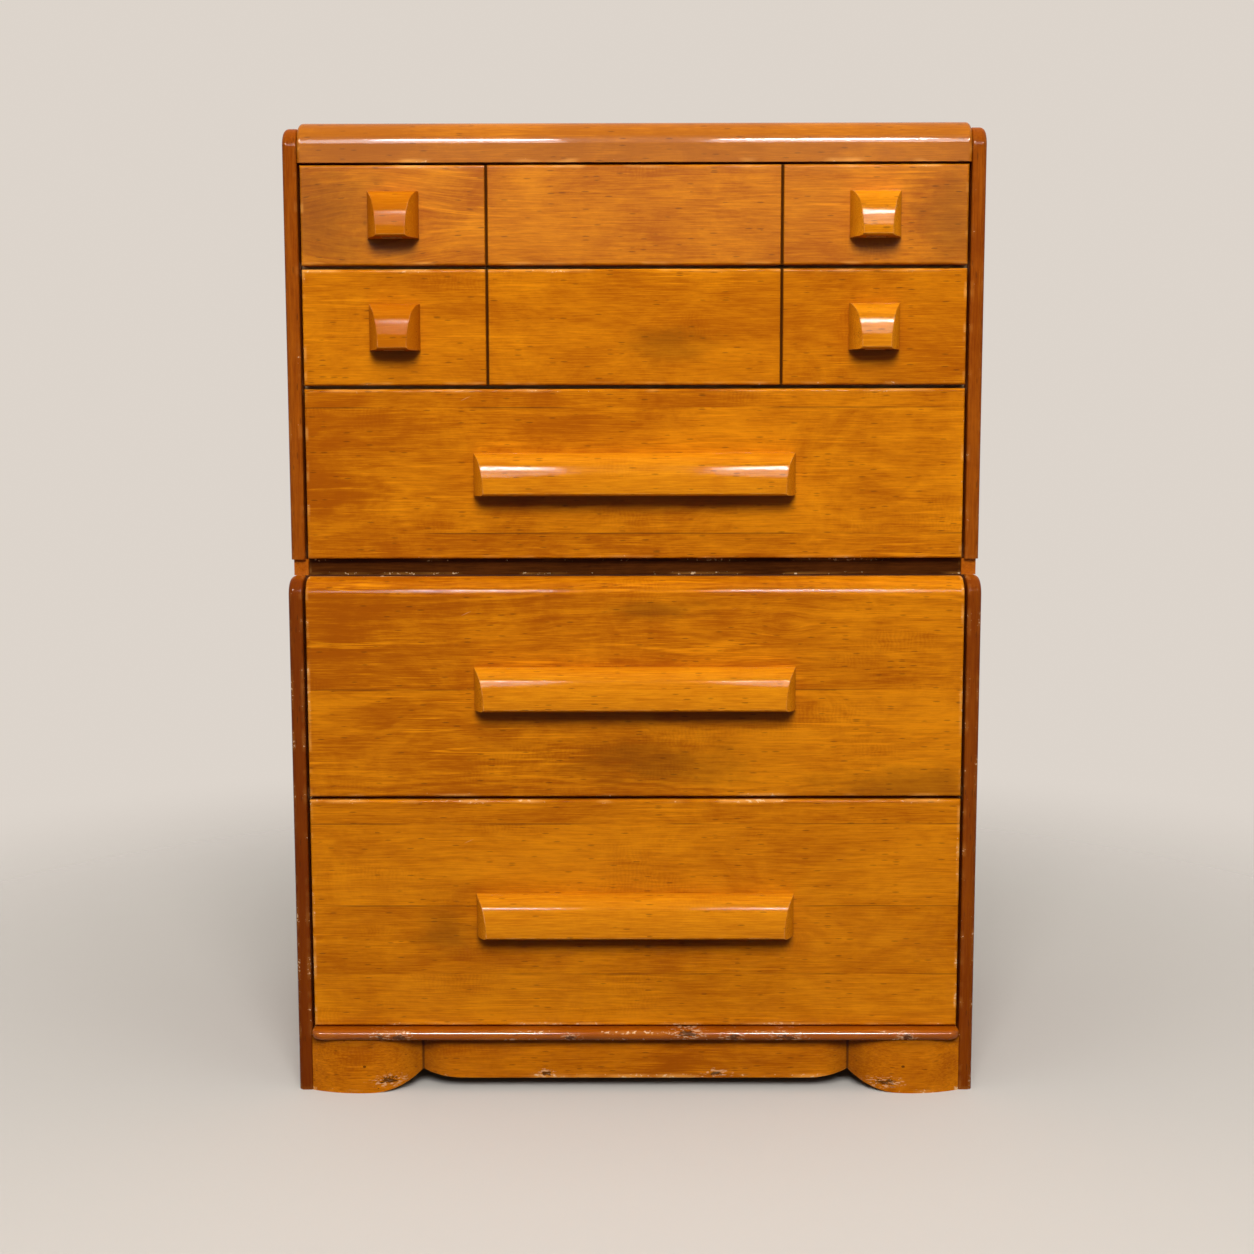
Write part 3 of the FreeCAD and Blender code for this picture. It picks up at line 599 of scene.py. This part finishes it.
def wood(name, tones, low, high, grain="X", seed=0.0, depth=0.0, lean=0.0,
         rings=0.16, cloud=0.8, fibre=0.7, streaks=0.35, curl=0.1, joints=(), knot=None,
         stains=(), nicks=(), strips=(), grooves=(), seams=(), front_shade=0.0,
         wear=0.4, rub=0.5, reach=0.006, ridges=False, marks=0.5,
         roughness=0.38, coat=0.0, shine=1.12, haze=0.0):
    """A varnished or bare wood, its grain along one axis of a piece that fills the box from low to high.

    depth makes the whole board deeper in tone, and lean its right end paler than its left. rings, cloud,
    fibre, streaks and curl say how strongly each part of the figure shows. joints are heights of glue
    lines, and a knot is a place and a reach.

    stains and nicks are pairs of a centre and a spread, and some of the stains are painted shadows. strips
    are the left end, right end and top of the places below a handle where a painted shadow is laid. grooves
    and seams are the places along X of upright grooves, which are painted darker as shade, and of joints,
    which get a thin dark line of dirt and a broad painted shade about it. front_shade darkens the front
    edge, partly with its own redder tone and partly as painted shade.

    wear, rub and marks say how used the wood looks, and reach how far its edges are worn; the paler worn
    edges are also a painted highlight along them. ridges wears a handle along its marked ridges instead.
    coat and shine say how much gloss lies over the wood, and haze how strong the soft veil on it is.
    """
    finishes = bpy.context.scene.dresser_finishes
    material, tree = new_material(name)
    place = object_place(tree)
    middle = (Vector(low) + Vector(high)) / 2
    centred = put(tree, "ShaderNodeMapping", {"Vector": place, "Location": -middle}).outputs[0]
    along = put(tree, "ShaderNodeMapping", {"Vector": centred, "Rotation": GRAIN_TURN[grain]}).outputs[0]

    # Boards, figure and tone
    boards, board_seed = None, seed
    if joints:
        levels = {f"joint_{index}": level for index, level in enumerate(joints, start=1)}
        boards = use(tree, "Glued Boards", height=axis(tree, place, "Z"), place=place, **levels)
        board_seed = plus(tree, times(tree, boards["Board"], BOARD_SEED), seed)
    swirl = {"knot": Vector(knot[0]) - middle, "knot_reach": knot[1]} if knot else {}
    figure = use(tree, "Maple Grain", place=along, seed=board_seed, **swirl)
    used = use(tree, "Marks of Use", place=centred, amount=marks)
    tone = 0.5 - depth
    for label, share in (("Rings", rings), ("Cloud", cloud), ("Fibre", fibre)):
        tone = plus(tree, times(tree, minus(tree, figure[label], 0.5), share * 2.0), tone)
    tone = minus(tree, tone, times(tree, figure["Curl"], curl))
    tone = plus(tree, tone, times(tree, figure["Streaks"], streaks))
    if lean:
        lean_for_metre = lean * 2 / (high[0] - low[0])
        tone = plus(tree, tone, times(tree, axis(tree, centred, "X"), lean_for_metre))
    if boards:
        odd = calc(tree, "MODULO", boards["Board"], 2.0)
        tone = minus(tree, tone, times(tree, odd, BOARD_STEP))
    pale, deep = (opaque(getattr(finishes, f"{tones}_{kind}")) for kind in ("pale", "deep"))
    shade = blend(tree, ramp(tree, tone, 0.0, 1.0), deep, pale)

    # Stains, dirt, painted shadow and painted shade
    # Stains, and painted shadows such as the one under the base rail
    for centre, spread in stains:
        patch = use(tree, "Stain And Shadow", place=place, centre=centre, spread=spread)["Patch"]
        shade = mark(tree, shade, patch, "stain")
    # Painted shadow below each handle
    for strip in strips:
        shade = mark(tree, shade, painted_shadow_below(tree, place, *strip), "handle_shadow")
    # Darker front edge: its own redder tone, and painted shade
    if front_shade:
        shade = cover(tree, shade, front_edge(tree, place, low[1]), front_shade, finishes.edge_shade)
    shade = mark(tree, shade, figure["Flecks"], "fleck")
    shade = mark(tree, shade, used["Pips"], "pip")
    if boards:
        shade = mark(tree, shade, boards["Line"], "glue_line")

    # Wear
    if ridges:
        rubbed_and_glint, chips = worn_ridges(tree, centred, wear)
    else:
        worn = use(tree, "Edge Wear", place=place, low=low, high=high, reach=reach, amount=wear)
        rubbed_and_glint, chips = worn["Rubbed And Glint"], worn["Chips"]
    # Paler worn edges: real wear, and a painted highlight along them
    shade = cover(tree, shade, rubbed_and_glint, rub, finishes.rubbed_and_glint)
    bare = calc(tree, "MAXIMUM", chips, times(tree, used["Scratches"], SCRATCH_DEPTH))
    shade = mark(tree, shade, bare, "bare")
    for centre, spread in nicks:
        nick = use(tree, "Nick", place=place, centre=centre, spread=spread)
        shade = mark(tree, shade, nick["Rim"], "torn")
        shade = mark(tree, shade, nick["Heart"], "dent")
    # Painted shade in the grooves of the upper fronts
    for groove in grooves:
        shade = mark(tree, shade, painted_shade_in_groove(tree, place, groove, low[1]), "groove")
    # Painted shade beside the joints between the apron and the feet, and a dark line of dirt in them
    for seam in seams:
        shade = seam_shade(tree, shade, place, seam)

    # Varnish
    damage = calc(tree, "MAXIMUM", bare, times(tree, used["Pips"], PIP_DAMAGE))
    skin = use(tree, "Varnish", place=centred, roughness=roughness, smudge=used["Smudge"], damage=damage,
               gloss=coat)
    relief = VARNISHED if coat else BARE
    height = plus(tree, skin["Skin Height"], times(tree, figure["Fibre"], relief["pores"]))
    normal = put(tree, "ShaderNodeBump", {"Height": height, "Strength": relief["bump"],
                                          "Distance": BUMP_HEIGHT})
    surface = put(tree, "ShaderNodeBsdfPrincipled", {
        "Base Color": shade, "Roughness": skin["Skin Roughness"], "Normal": normal.outputs[0],
        "Specular IOR Level": haze, "Coat Roughness": COAT_ROUGHNESS, "Coat IOR": shine})
    if coat:
        tree.links.new(skin["Coat"], surface.inputs["Coat Weight"])
    show(tree, surface)
    return material


def metal(name, steel, rust):
    """Old steel with a dull skin and spots of rust."""
    material, tree = new_material(name)
    place = object_place(tree)
    spots = ramp(tree, noise(tree, place, (420, 420, 420), detail=4, roughness=0.65), 0.46, 0.64)
    brushed = noise(tree, place, (1500, 300, 300), detail=2)
    rough = plus(tree, times(tree, spots, 0.35), times(tree, brushed, 0.3), clamp=True)
    shine = minus(tree, 1.0, times(tree, spots, 0.8))
    normal = put(tree, "ShaderNodeBump", {"Height": brushed, "Strength": 0.2, "Distance": 0.0003})
    show(tree, put(tree, "ShaderNodeBsdfPrincipled", {
        "Base Color": blend(tree, spots, opaque(steel), opaque(rust)), "Roughness": rough,
        "Metallic": shine, "Normal": normal.outputs[0]}))
    return material


def finish_with(piece, material):
    piece.data.materials.clear()
    piece.data.materials.append(material)


def dress(node, hidden_top=False, **look):
    """Gives a CAD node its own wood, fitted to the box that the node fills.

    A hidden top lies against another piece, so that its edges carry no wear.
    """
    low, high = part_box(node)
    if hidden_top:
        high = high + Vector((0, 0, HIDDEN_RISE))
    finish_with(NODES[node], wood(node + "_wood", low=tuple(low), high=tuple(high), **look))


def spot(face, x, z, width, height):
    """Centre and spread of a stain or a knock on a face that looks to the front."""
    return (x, face, z), (width, THROUGH, height)


def places_below(handles):
    """Left end, right end and top of the place below each handle."""
    boxes = [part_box(node) for node in handles]
    return [(low.x, high.x, low.z) for low, high in boxes]


# Modelling

def nothing_selected():
    if bpy.context.mode != "OBJECT":
        bpy.ops.object.mode_set(mode="OBJECT")
    bpy.ops.object.select_all(action="DESELECT")


def only(piece):
    nothing_selected()
    piece.select_set(True)
    bpy.context.view_layer.objects.active = piece


def copy_of(piece, name):
    """A copy with a mesh of its own, which stands alone."""
    only(piece)
    bpy.ops.object.duplicate(linked=False)
    twin = bpy.context.view_layer.objects.active
    twin.name = name
    twin.data.name = name
    return twin


def settle(piece):
    """Puts a piece's place into its mesh."""
    only(piece)
    bpy.ops.object.transform_apply(location=True, rotation=True, scale=True)


def pick_top(piece):
    """Selects the faces that look up, in edit mode."""
    bpy.ops.mesh.select_all(action="DESELECT")
    bpy.ops.object.mode_set(mode="OBJECT")
    found = [face for face in piece.data.polygons if face.normal.z > FACES_UP]
    if not found:
        raise RuntimeError(f"{piece.name} has no face that looks up")
    for face in found:
        face.select = True
    bpy.ops.object.mode_set(mode="EDIT")


def softened_handle(node):
    """A copy of a handle whose ridges are worn round, with the ridges marked for their finish.

    Its flat faces keep even normals, so that a window mirrors in them as it does in flat wood.
    """
    fittings = bpy.context.scene.dresser_fittings
    piece = copy_of(NODES[node], node + "_softened")
    piece.parent = None
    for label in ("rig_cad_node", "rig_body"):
        del piece[label]
    only(piece)
    bpy.ops.mesh.customdata_custom_splitnormals_clear()
    bpy.ops.object.mode_set(mode="EDIT")
    bpy.ops.mesh.select_mode(type="EDGE")
    bpy.ops.mesh.select_all(action="SELECT")
    bpy.ops.mesh.remove_doubles(threshold=MERGED_WITHIN)
    bpy.ops.mesh.dissolve_limited(angle_limit=FLAT_WITHIN)
    bpy.ops.mesh.select_all(action="DESELECT")
    bpy.ops.mesh.edges_select_sharp(sharpness=RIDGE_OVER)
    bpy.ops.mesh.bevel(offset=fittings.ridge, segments=fittings.ridge_steps, affect="EDGES",
                       clamp_overlap=True)
    bpy.ops.object.mode_set(mode="OBJECT")
    ridge = piece.data.attributes.new("ridge", "FLOAT", "FACE")
    for face in piece.data.polygons:
        ridge.data[face.index].value = float(face.select)
    bpy.ops.object.shade_smooth_by_angle(angle=SMOOTH_HANDLE)
    even = piece.modifiers.new("even_faces", "WEIGHTED_NORMAL")
    even.keep_sharp = True
    bpy.ops.object.modifier_apply(modifier=even.name)
    return piece


def begin_head(name, sides, radius, depth, middle):
    """A round blank along Z about a middle height, in edit mode with its top selected."""
    nothing_selected()
    bpy.ops.mesh.primitive_cylinder_add(vertices=sides, radius=radius, depth=depth, location=(0, 0, middle))
    head = bpy.context.view_layer.objects.active
    head.name = name
    bpy.ops.object.mode_set(mode="EDIT")
    pick_top(head)
    return head


def end_head(head):
    """Turns a finished head from +Z to +Y and smooths its round faces."""
    settle(head)
    head.rotation_euler = (math.radians(-90), 0, 0)
    settle(head)
    bpy.ops.object.shade_smooth_by_angle(angle=SMOOTH_HEAD)
    return head


def screw_head():
    """A slotted screw head that faces +Y, modelled at the origin."""
    fittings = bpy.context.scene.dresser_fittings
    radius, rise = fittings.screw_head, fittings.screw_rise
    rim, dome, softness = radius * 0.22, rise * 0.35, radius * 0.10
    slot_length, slot_middle, slot_height = radius * 3, rise * 1.3, rise * 1.3
    head = begin_head("screw_head", sides=28, radius=radius, depth=rise, middle=rise / 2)
    bpy.ops.mesh.inset(thickness=rim)
    bpy.ops.transform.translate(value=(0, 0, dome))
    bpy.ops.mesh.bevel(offset=softness, segments=2, affect="EDGES")
    bpy.ops.object.mode_set(mode="OBJECT")
    bpy.ops.mesh.primitive_cube_add(size=1, location=(0, 0, slot_middle))
    slot = bpy.context.view_layer.objects.active
    slot.scale = (slot_length, fittings.screw_slot, slot_height)
    settle(slot)
    only(head)
    cut = head.modifiers.new("slot", "BOOLEAN")
    cut.operation = "DIFFERENCE"
    cut.object = slot
    bpy.ops.object.modifier_apply(modifier=cut.name)
    bpy.data.objects.remove(slot)
    return end_head(head)


def nail_head():
    """A flat nail head with a rounded rim that faces +Y, modelled at the origin."""
    fittings = bpy.context.scene.dresser_fittings
    radius, rise = fittings.nail_head, fittings.nail_rise
    depth, softness = rise * 3, rise * 0.8
    head = begin_head("nail_head", sides=14, radius=radius, depth=depth, middle=rise - depth / 2)
    bpy.ops.mesh.bevel(offset=softness, segments=2, affect="EDGES")
    bpy.ops.object.mode_set(mode="OBJECT")
    return end_head(head)


def evenly(low, high, pitch):
    """Evenly spaced places from low to high, about a pitch apart."""
    count = max(1, round((high - low) / pitch))
    return [low + (high - low) * index / count for index in range(count + 1)]


def nails_round(panel, pattern):
    """Nails along the four edges of a back panel, as one piece."""
    fittings = bpy.context.scene.dresser_fittings
    low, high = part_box(panel)
    inset = fittings.nail_edge
    x = evenly(low.x + inset, high.x - inset, fittings.nail_pitch)
    z = evenly(low.z + inset, high.z - inset, fittings.nail_pitch)
    places = [(at, level) for level in (z[0], z[-1]) for at in x]
    places += [(at, level) for at in (x[0], x[-1]) for level in z[1:-1]]
    copies = []
    for index, (at, level) in enumerate(places):
        nail = copy_of(pattern, f"{panel}_nail_{index}")
        nail.location = (at, high.y, level)
        copies.append(nail)
    nothing_selected()
    for nail in copies:
        nail.select_set(True)
    nails = copies[0]
    bpy.context.view_layer.objects.active = nails
    bpy.ops.object.join()
    nails.name = panel + "_nails"
    settle(nails)
    return nails


# Stage

def looked_at(tree):
    """1 where a thing is seen, straight or in a mirror, and 0 for the light that it throws on others."""
    path = put(tree, "ShaderNodeLightPath").outputs
    straight = calc(tree, "MAXIMUM", path["Is Camera Ray"], path["Is Transmission Ray"])
    return calc(tree, "MAXIMUM", straight, path["Is Glossy Ray"])


def lay_floor(studio):
    """A round floor that fades into the backdrop at its rim."""
    nothing_selected()
    bpy.ops.mesh.primitive_circle_add(vertices=96, radius=studio.floor_reach, fill_type="NGON")
    floor = bpy.context.view_layer.objects.active
    floor.name = "floor"
    material, tree = new_material("plain_floor")
    from_middle = vector_calc(tree, "LENGTH", object_place(tree))
    rim = ramp(tree, from_middle, studio.floor_solid, studio.floor_reach * FADED_AT)
    tint = blend(tree, looked_at(tree), opaque(studio.floor_bounce), opaque(studio.floor_colour))
    plain = put(tree, "ShaderNodeBsdfDiffuse", {"Color": tint})
    clear = put(tree, "ShaderNodeBsdfTransparent")
    show(tree, put(tree, "ShaderNodeMixShader", {0: rim, 1: plain.outputs[0], 2: clear.outputs[0]}))
    floor.data.materials.append(material)


def light_world(studio):
    """Soft light, stronger behind than in front, and a pale backdrop for all that looks past the floor."""
    world = bpy.data.worlds.new("studio")
    bpy.context.scene.world = world
    world.use_nodes = True
    tree = world.node_tree
    tree.nodes.clear()
    way = put(tree, "ShaderNodeTexCoord").outputs["Generated"]
    facing = vector_calc(tree, "DOT_PRODUCT", way, UP_FRONT)
    strength = ramp(tree, facing, -0.4, 1.0, to_low=studio.fill_behind, to_high=studio.fill)
    strength = put(tree, "ShaderNodeMix", {0: looked_at(tree), 2: strength, 3: 1.0}).outputs[0]
    backdrop = put(tree, "ShaderNodeBackground", {"Color": opaque(studio.backdrop), "Strength": strength})
    put(tree, "ShaderNodeOutputWorld", {"Surface": backdrop.outputs[0]})


def add_lamp(name, at, size, watts, towards=AIM, mirrored=True):
    """A soft lamp: an oval one mirrors in the varnish, and a rectangular one lights the wood below it."""
    data = bpy.data.lights.new(name, "AREA")
    data.shape = "ELLIPSE" if mirrored else "RECTANGLE"
    data.size, data.size_y = size
    data.energy = watts
    lamp = bpy.data.objects.new(name, data)
    bpy.context.scene.collection.objects.link(lamp)
    lamp.location = at
    lamp.rotation_euler = (Vector(towards) - Vector(at)).to_track_quat("-Z", "Y").to_euler()
    lamp.visible_camera = False
    lamp.visible_glossy = mirrored
    lamp.visible_diffuse = not mirrored


def hang_lamps(studio):
    """The windows that mirror in the varnish, and the lamps that light the wood."""
    for side, at in WINDOWS.items():
        add_lamp(f"window_{side}", at, WINDOW_SIZE, studio.window_light)
    for side, at in CORES.items():
        width = CORE_WIDTHS[side]
        add_lamp(f"core_{side}", at, (width, CORE_HEIGHT), studio.core_light * width)
    for side, at in SIDE_WINDOWS.items():
        add_lamp(f"side_window_{side}", at, SIDE_WINDOW_SIZE, studio.side_light)
    add_lamp("key", KEY_PLACE, KEY_SIZE, studio.key_light, mirrored=False)
    add_lamp("sky", SKY_PLACE, SKY_SIZE, studio.sky_light, towards=SKY_AIM, mirrored=False)


def stand_camera(studio):
    """The camera where the photograph was taken from."""
    data = bpy.data.cameras.new("camera")
    data.sensor_width = SENSOR_WIDTH
    data.lens = studio.camera_lens
    camera = bpy.data.objects.new("camera", data)
    bpy.context.scene.collection.objects.link(camera)
    camera.location = studio.camera_place
    camera.rotation_euler = Euler(studio.camera_turn)
    bpy.context.scene.camera = camera


# Operators, one for each group of pieces

class DRESSER_OT_make_groups(bpy.types.Operator):
    """Builds the shader node groups that the woods share"""
    bl_idname = "dresser.make_groups"
    bl_label = "Wood Effects"

    def execute(self, context):
        for make in GROUP_MAKERS:
            make()
        return {"FINISHED"}


class DRESSER_OT_finish_fronts(bpy.types.Operator):
    """Finishes the five drawer fronts in varnished maple, each with its own figure"""
    bl_idname = "dresser.finish_fronts"
    bl_label = "Drawer Fronts"

    def execute(self, context):
        coat = context.scene.dresser_finishes.gloss
        looks = {
            "drawer_1": dict(
                seed=1.3, depth=0.06, haze=0.02, cloud=0.62, wear=0.1, marks=0.5, grooves=GROOVES,
                knot=((-0.335, UPPER_FACE, 1.092), 0.05),
                stains=[spot(UPPER_FACE, -0.375, 1.100, 0.12, 0.10),
                        spot(UPPER_FACE, 0.390, 1.100, 0.07, 0.08)]),
            "drawer_2": dict(
                seed=4.2, depth=0.05, lean=-0.03, cloud=0.6, wear=0.25, marks=0.6, grooves=GROOVES,
                stains=[spot(UPPER_FACE, 0.045, 0.946, 0.075, 0.032)]),
            "drawer_3": dict(
                seed=7.7, depth=0.03, lean=0.13, rings=0.26, cloud=0.75, wear=0.25, marks=0.8,
                joints=(0.7135, 0.870)),
            "drawer_4": dict(
                seed=12.1, lean=0.14, rings=0.36, cloud=0.7, streaks=0.6, curl=0.12, wear=0.3, marks=1.1,
                joints=(0.519,), knot=((0.188, LOWER_FACE, 0.604), 0.016),
                stains=[spot(LOWER_FACE, 0.029, 0.619, 0.085, 0.017),
                        spot(LOWER_FACE, 0.029, 0.425, 0.15, 0.042),
                        spot(LOWER_FACE, 0.350, 0.394, 0.16, 0.036)]),
            "drawer_5": dict(
                seed=16.4, depth=-0.06, cloud=0.6, wear=0.4, marks=1.2, joints=(0.153, 0.242, 0.348),
                stains=[spot(LOWER_FACE, -0.235, 0.205, 0.06, 0.04)]),
        }
        for body, look in looks.items():
            # Each front gets a painted shadow below its handles
            dress(body + "_front", tones="front", fibre=0.6, coat=coat, reach=0.0055,
                  strips=places_below(HANDLES[body]), **look)
        return {"FINISHED"}


class DRESSER_OT_finish_case(bpy.types.Operator):
    """Finishes the sides, the top boards and the waist"""
    bl_idname = "dresser.finish_case"
    bl_label = "Case and Waist"

    def execute(self, context):
        coat = context.scene.dresser_finishes.gloss
        side = dict(tones="case", coat=coat, rub=0.1)
        # The front edges of the sides are darkened, partly their own redder tone and partly painted shade;
        # the lower left more than the lower right
        for hand, seed, shade in (("left", 21.5, 0.82), ("right", 24.8, 0.66)):
            dress(f"upper_side_{hand}", grain="Z", seed=seed, wear=0.15, front_shade=0.42, **side)
            dress(f"lower_side_{hand}", grain="Z", seed=seed + 7, wear=0.3, front_shade=shade, marks=0.8,
                  **side)
            dress(f"waist_side_{hand}", grain="Y", seed=seed + 3, wear=0.1, **side)
        dress("top_panel", tones="top", seed=31.2, depth=0.24, coat=coat, shine=1.2, haze=0.022,
              wear=0.15, marks=0.6)
        dress("waist_front_rail", tones="waist", seed=33.9, coat=coat * WAIST_GLOSS, wear=0.42, rub=0.15,
              reach=0.004, marks=0.9)
        bare = dict(wear=0.1, rub=0.0, roughness=0.65, haze=BARE_HAZE)
        dress("waist_back_rail", tones="frame", seed=35.0, **bare)
        # The lower top board takes the dark waist tone as painted shade, for a board that lies in shade
        # under the waist
        dress("lower_top_panel", tones="waist", seed=37.4, **bare)
        return {"FINISHED"}


class DRESSER_OT_finish_base(bpy.types.Operator):
    """Finishes the base rail, the apron and the feet"""
    bl_idname = "dresser.finish_base"
    bl_label = "Base"

    def execute(self, context):
        coat = context.scene.dresser_finishes.gloss
        knocks = ((-0.326, 0.0755, 0.010), (-0.300, 0.0745, 0.016), (-0.082, 0.0745, 0.012),
                  (0.066, 0.0790, 0.018), (0.124, 0.0750, 0.013), (0.192, 0.0750, 0.020),
                  (0.345, 0.0750, 0.010))
        dress("base_rail", tones="base", seed=41.0, depth=0.44, coat=coat, shine=1.3, wear=0.45, rub=0.12,
              reach=0.005, marks=2.0,
              stains=[spot(RAIL_FACE, x, 0.0725, 0.11, 0.0055) for x in (-0.33, -0.06, 0.14, 0.34)],
              nicks=[spot(RAIL_FACE, x, z, width, 0.0055) for x, z, width in knocks])
        # Painted shadow under the base rail, laid on the apron and the feet
        rail_shadow = spot(APRON_FACE, 0, 0.071, 2.0, 0.018)
        under_rail = dict(tones="base", coat=coat, hidden_top=True, stains=[rail_shadow])
        dress("apron", seed=43.6, wear=0.45, marks=2.0, seams=FOOT_JOINTS,
              nicks=[spot(APRON_FACE, -0.115, 0.0215, 0.012, 0.005),
                     spot(APRON_FACE, 0.105, 0.022, 0.014, 0.005)], **under_rail)
        dress("foot_left", seed=45.1, wear=0.6, marks=2.6, seams=FOOT_JOINTS[:1],
              nicks=[spot(APRON_FACE, -0.316, 0.016, 0.018, 0.007)], **under_rail)
        dress("foot_right", seed=48.9, wear=0.6, marks=2.6, seams=FOOT_JOINTS[1:],
              nicks=[spot(APRON_FACE, 0.318, 0.014, 0.020, 0.006)], **under_rail)
        dress("corner_blocks", tones="frame", seed=49.5, grain="Z", wear=0.1, rub=0.0, roughness=0.7,
              haze=BARE_HAZE)
        return {"FINISHED"}


class DRESSER_OT_finish_insides(bpy.types.Operator):
    """Finishes the drawer boxes, the frames that they run on and the plywood backs"""
    bl_idname = "dresser.finish_insides"
    bl_label = "Insides"

    def execute(self, context):
        bare = dict(wear=0.15, rub=0.0, marks=0.35, roughness=0.62, haze=BARE_HAZE)
        box = dict(tones="drawer", **bare)
        ply = dict(tones="ply", rings=0.5, **bare)
        framing = dict(tones="frame", **bare)
        for number, drawer in enumerate(HANDLES, start=1):
            for hand in ("left", "right"):
                dress(f"{drawer}_side_{hand}", grain="Y", seed=51 + number * 1.7, **box)
            dress(f"{drawer}_back", seed=61 + number * 1.3, **box)
            dress(f"{drawer}_bottom", seed=71 + number * 1.9, **ply)
            dress(f"{drawer}_guide", grain="Y", seed=81 + number, **framing)
        for number in range(1, DUST_FRAMES + 1):
            dress(f"dust_frame_{number}", seed=91 + number * 2.3, **framing)
        dress("bottom_frame", seed=101.3, **framing)
        dress("upper_back_panel", seed=105.1, **ply)
        dress("lower_back_panel", seed=108.6, **ply)
        return {"FINISHED"}


class DRESSER_OT_soften_handles(bpy.types.Operator):
    """Wears the ridges of the knobs and pulls round and gives them their varnished maple"""
    bl_idname = "dresser.soften_handles"
    bl_label = "Knobs and Pulls"

    def execute(self, context):
        gloss = context.scene.dresser_finishes.gloss
        for number, (body, nodes) in enumerate(HANDLES.items()):
            for place, node in enumerate(nodes):
                piece = softened_handle(node)
                low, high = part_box(node)
                # The left knobs are painted deeper in tone as painted shade, and keep less gloss
                dimmed_left_knob = node.endswith("_left")
                depth, gloss_left = (LEFT_KNOB_SHADE, HANDLED_GLOSS) if dimmed_left_knob else (0.0, 1.0)
                material = wood(node + "_wood", "pull", tuple(low), tuple(high),
                                seed=111 + number * 3.1 + place, depth=depth, rings=0.15, cloud=0.35,
                                streaks=0.1, curl=0.05, wear=0.6, ridges=True, marks=0.6,
                                coat=gloss * gloss_left)
                finish_with(piece, material)
                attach(piece, body)
                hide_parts(node)
        return {"FINISHED"}


class DRESSER_OT_add_screws(bpy.types.Operator):
    """Adds the screws that hold the knobs and pulls, behind the drawer fronts"""
    bl_idname = "dresser.add_screws"
    bl_label = "Handle Screws"

    def execute(self, context):
        finishes = context.scene.dresser_finishes
        pattern = screw_head()
        pattern.data.materials.append(metal("screw_steel", finishes.screw_steel, finishes.screw_rust))
        for body, nodes in HANDLES.items():
            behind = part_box(body + "_front")[1].y
            for node in nodes:
                low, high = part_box(node)
                middle = (low + high) / 2
                reach = (high.x - low.x) * PULL_SCREW_SHARE
                for index, at in enumerate((-reach, reach) if len(nodes) == 1 else (0.0,), start=1):
                    screw = copy_of(pattern, f"{node}_screw_{index}")
                    screw.location = (middle.x + at, behind, middle.z)
                    settle(screw)
                    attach(screw, body)
        bpy.data.objects.remove(pattern)
        return {"FINISHED"}


class DRESSER_OT_add_nails(bpy.types.Operator):
    """Adds the nails round both back panels"""
    bl_idname = "dresser.add_nails"
    bl_label = "Back Nails"

    def execute(self, context):
        finishes = context.scene.dresser_finishes
        pattern = nail_head()
        pattern.data.materials.append(metal("nail_steel", finishes.nail_steel, finishes.nail_rust))
        for panel in ("upper_back_panel", "lower_back_panel"):
            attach(nails_round(panel, pattern), "carcass")
        bpy.data.objects.remove(pattern)
        return {"FINISHED"}


class DRESSER_OT_set_stage(bpy.types.Operator):
    """Lays the plain floor and sets the light and the camera"""
    bl_idname = "dresser.set_stage"
    bl_label = "Stage"

    def execute(self, context):
        studio = context.scene.dresser_studio
        lay_floor(studio)
        light_world(studio)
        hang_lamps(studio)
        stand_camera(studio)
        context.scene.view_settings.view_transform = "Standard"
        return {"FINISHED"}


class DRESSER_PT_pieces(bpy.types.Panel):
    """Lists the steps that dress the cabinet"""
    bl_idname = "DRESSER_PT_pieces"
    bl_label = "Chest on Chest"
    bl_space_type = "VIEW_3D"
    bl_region_type = "UI"
    bl_category = "Dresser"

    def draw(self, context):
        for step in STEPS:
            self.layout.operator(step.bl_idname)
        for settings in SETTINGS:
            box = self.layout.box()
            group = getattr(context.scene, settings)
            for label in group.bl_rna.properties.keys():
                if label not in ("name", "rna_type"):
                    box.prop(group, label)


SETTINGS = {"dresser_finishes": DresserFinishes, "dresser_fittings": DresserFittings,
            "dresser_studio": DresserStudio}
STEPS = (DRESSER_OT_make_groups, DRESSER_OT_finish_fronts, DRESSER_OT_finish_case, DRESSER_OT_finish_base,
         DRESSER_OT_finish_insides, DRESSER_OT_soften_handles, DRESSER_OT_add_screws, DRESSER_OT_add_nails,
         DRESSER_OT_set_stage)


def register():
    for kind in (*SETTINGS.values(), *STEPS, DRESSER_PT_pieces):
        bpy.utils.register_class(kind)
    for label, kind in SETTINGS.items():
        setattr(bpy.types.Scene, label, PointerProperty(type=kind))


def unregister():
    for label in SETTINGS:
        delattr(bpy.types.Scene, label)
    for kind in (DRESSER_PT_pieces, *reversed(STEPS), *reversed(SETTINGS.values())):
        bpy.utils.unregister_class(kind)


def main():
    register()
    bpy.ops.dresser.make_groups()
    bpy.ops.dresser.finish_fronts()
    bpy.ops.dresser.finish_case()
    bpy.ops.dresser.finish_base()
    bpy.ops.dresser.finish_insides()
    bpy.ops.dresser.soften_handles()
    bpy.ops.dresser.add_screws()
    bpy.ops.dresser.add_nails()
    bpy.ops.dresser.set_stage()
    nothing_selected()


if __name__ == "__main__":
    main()
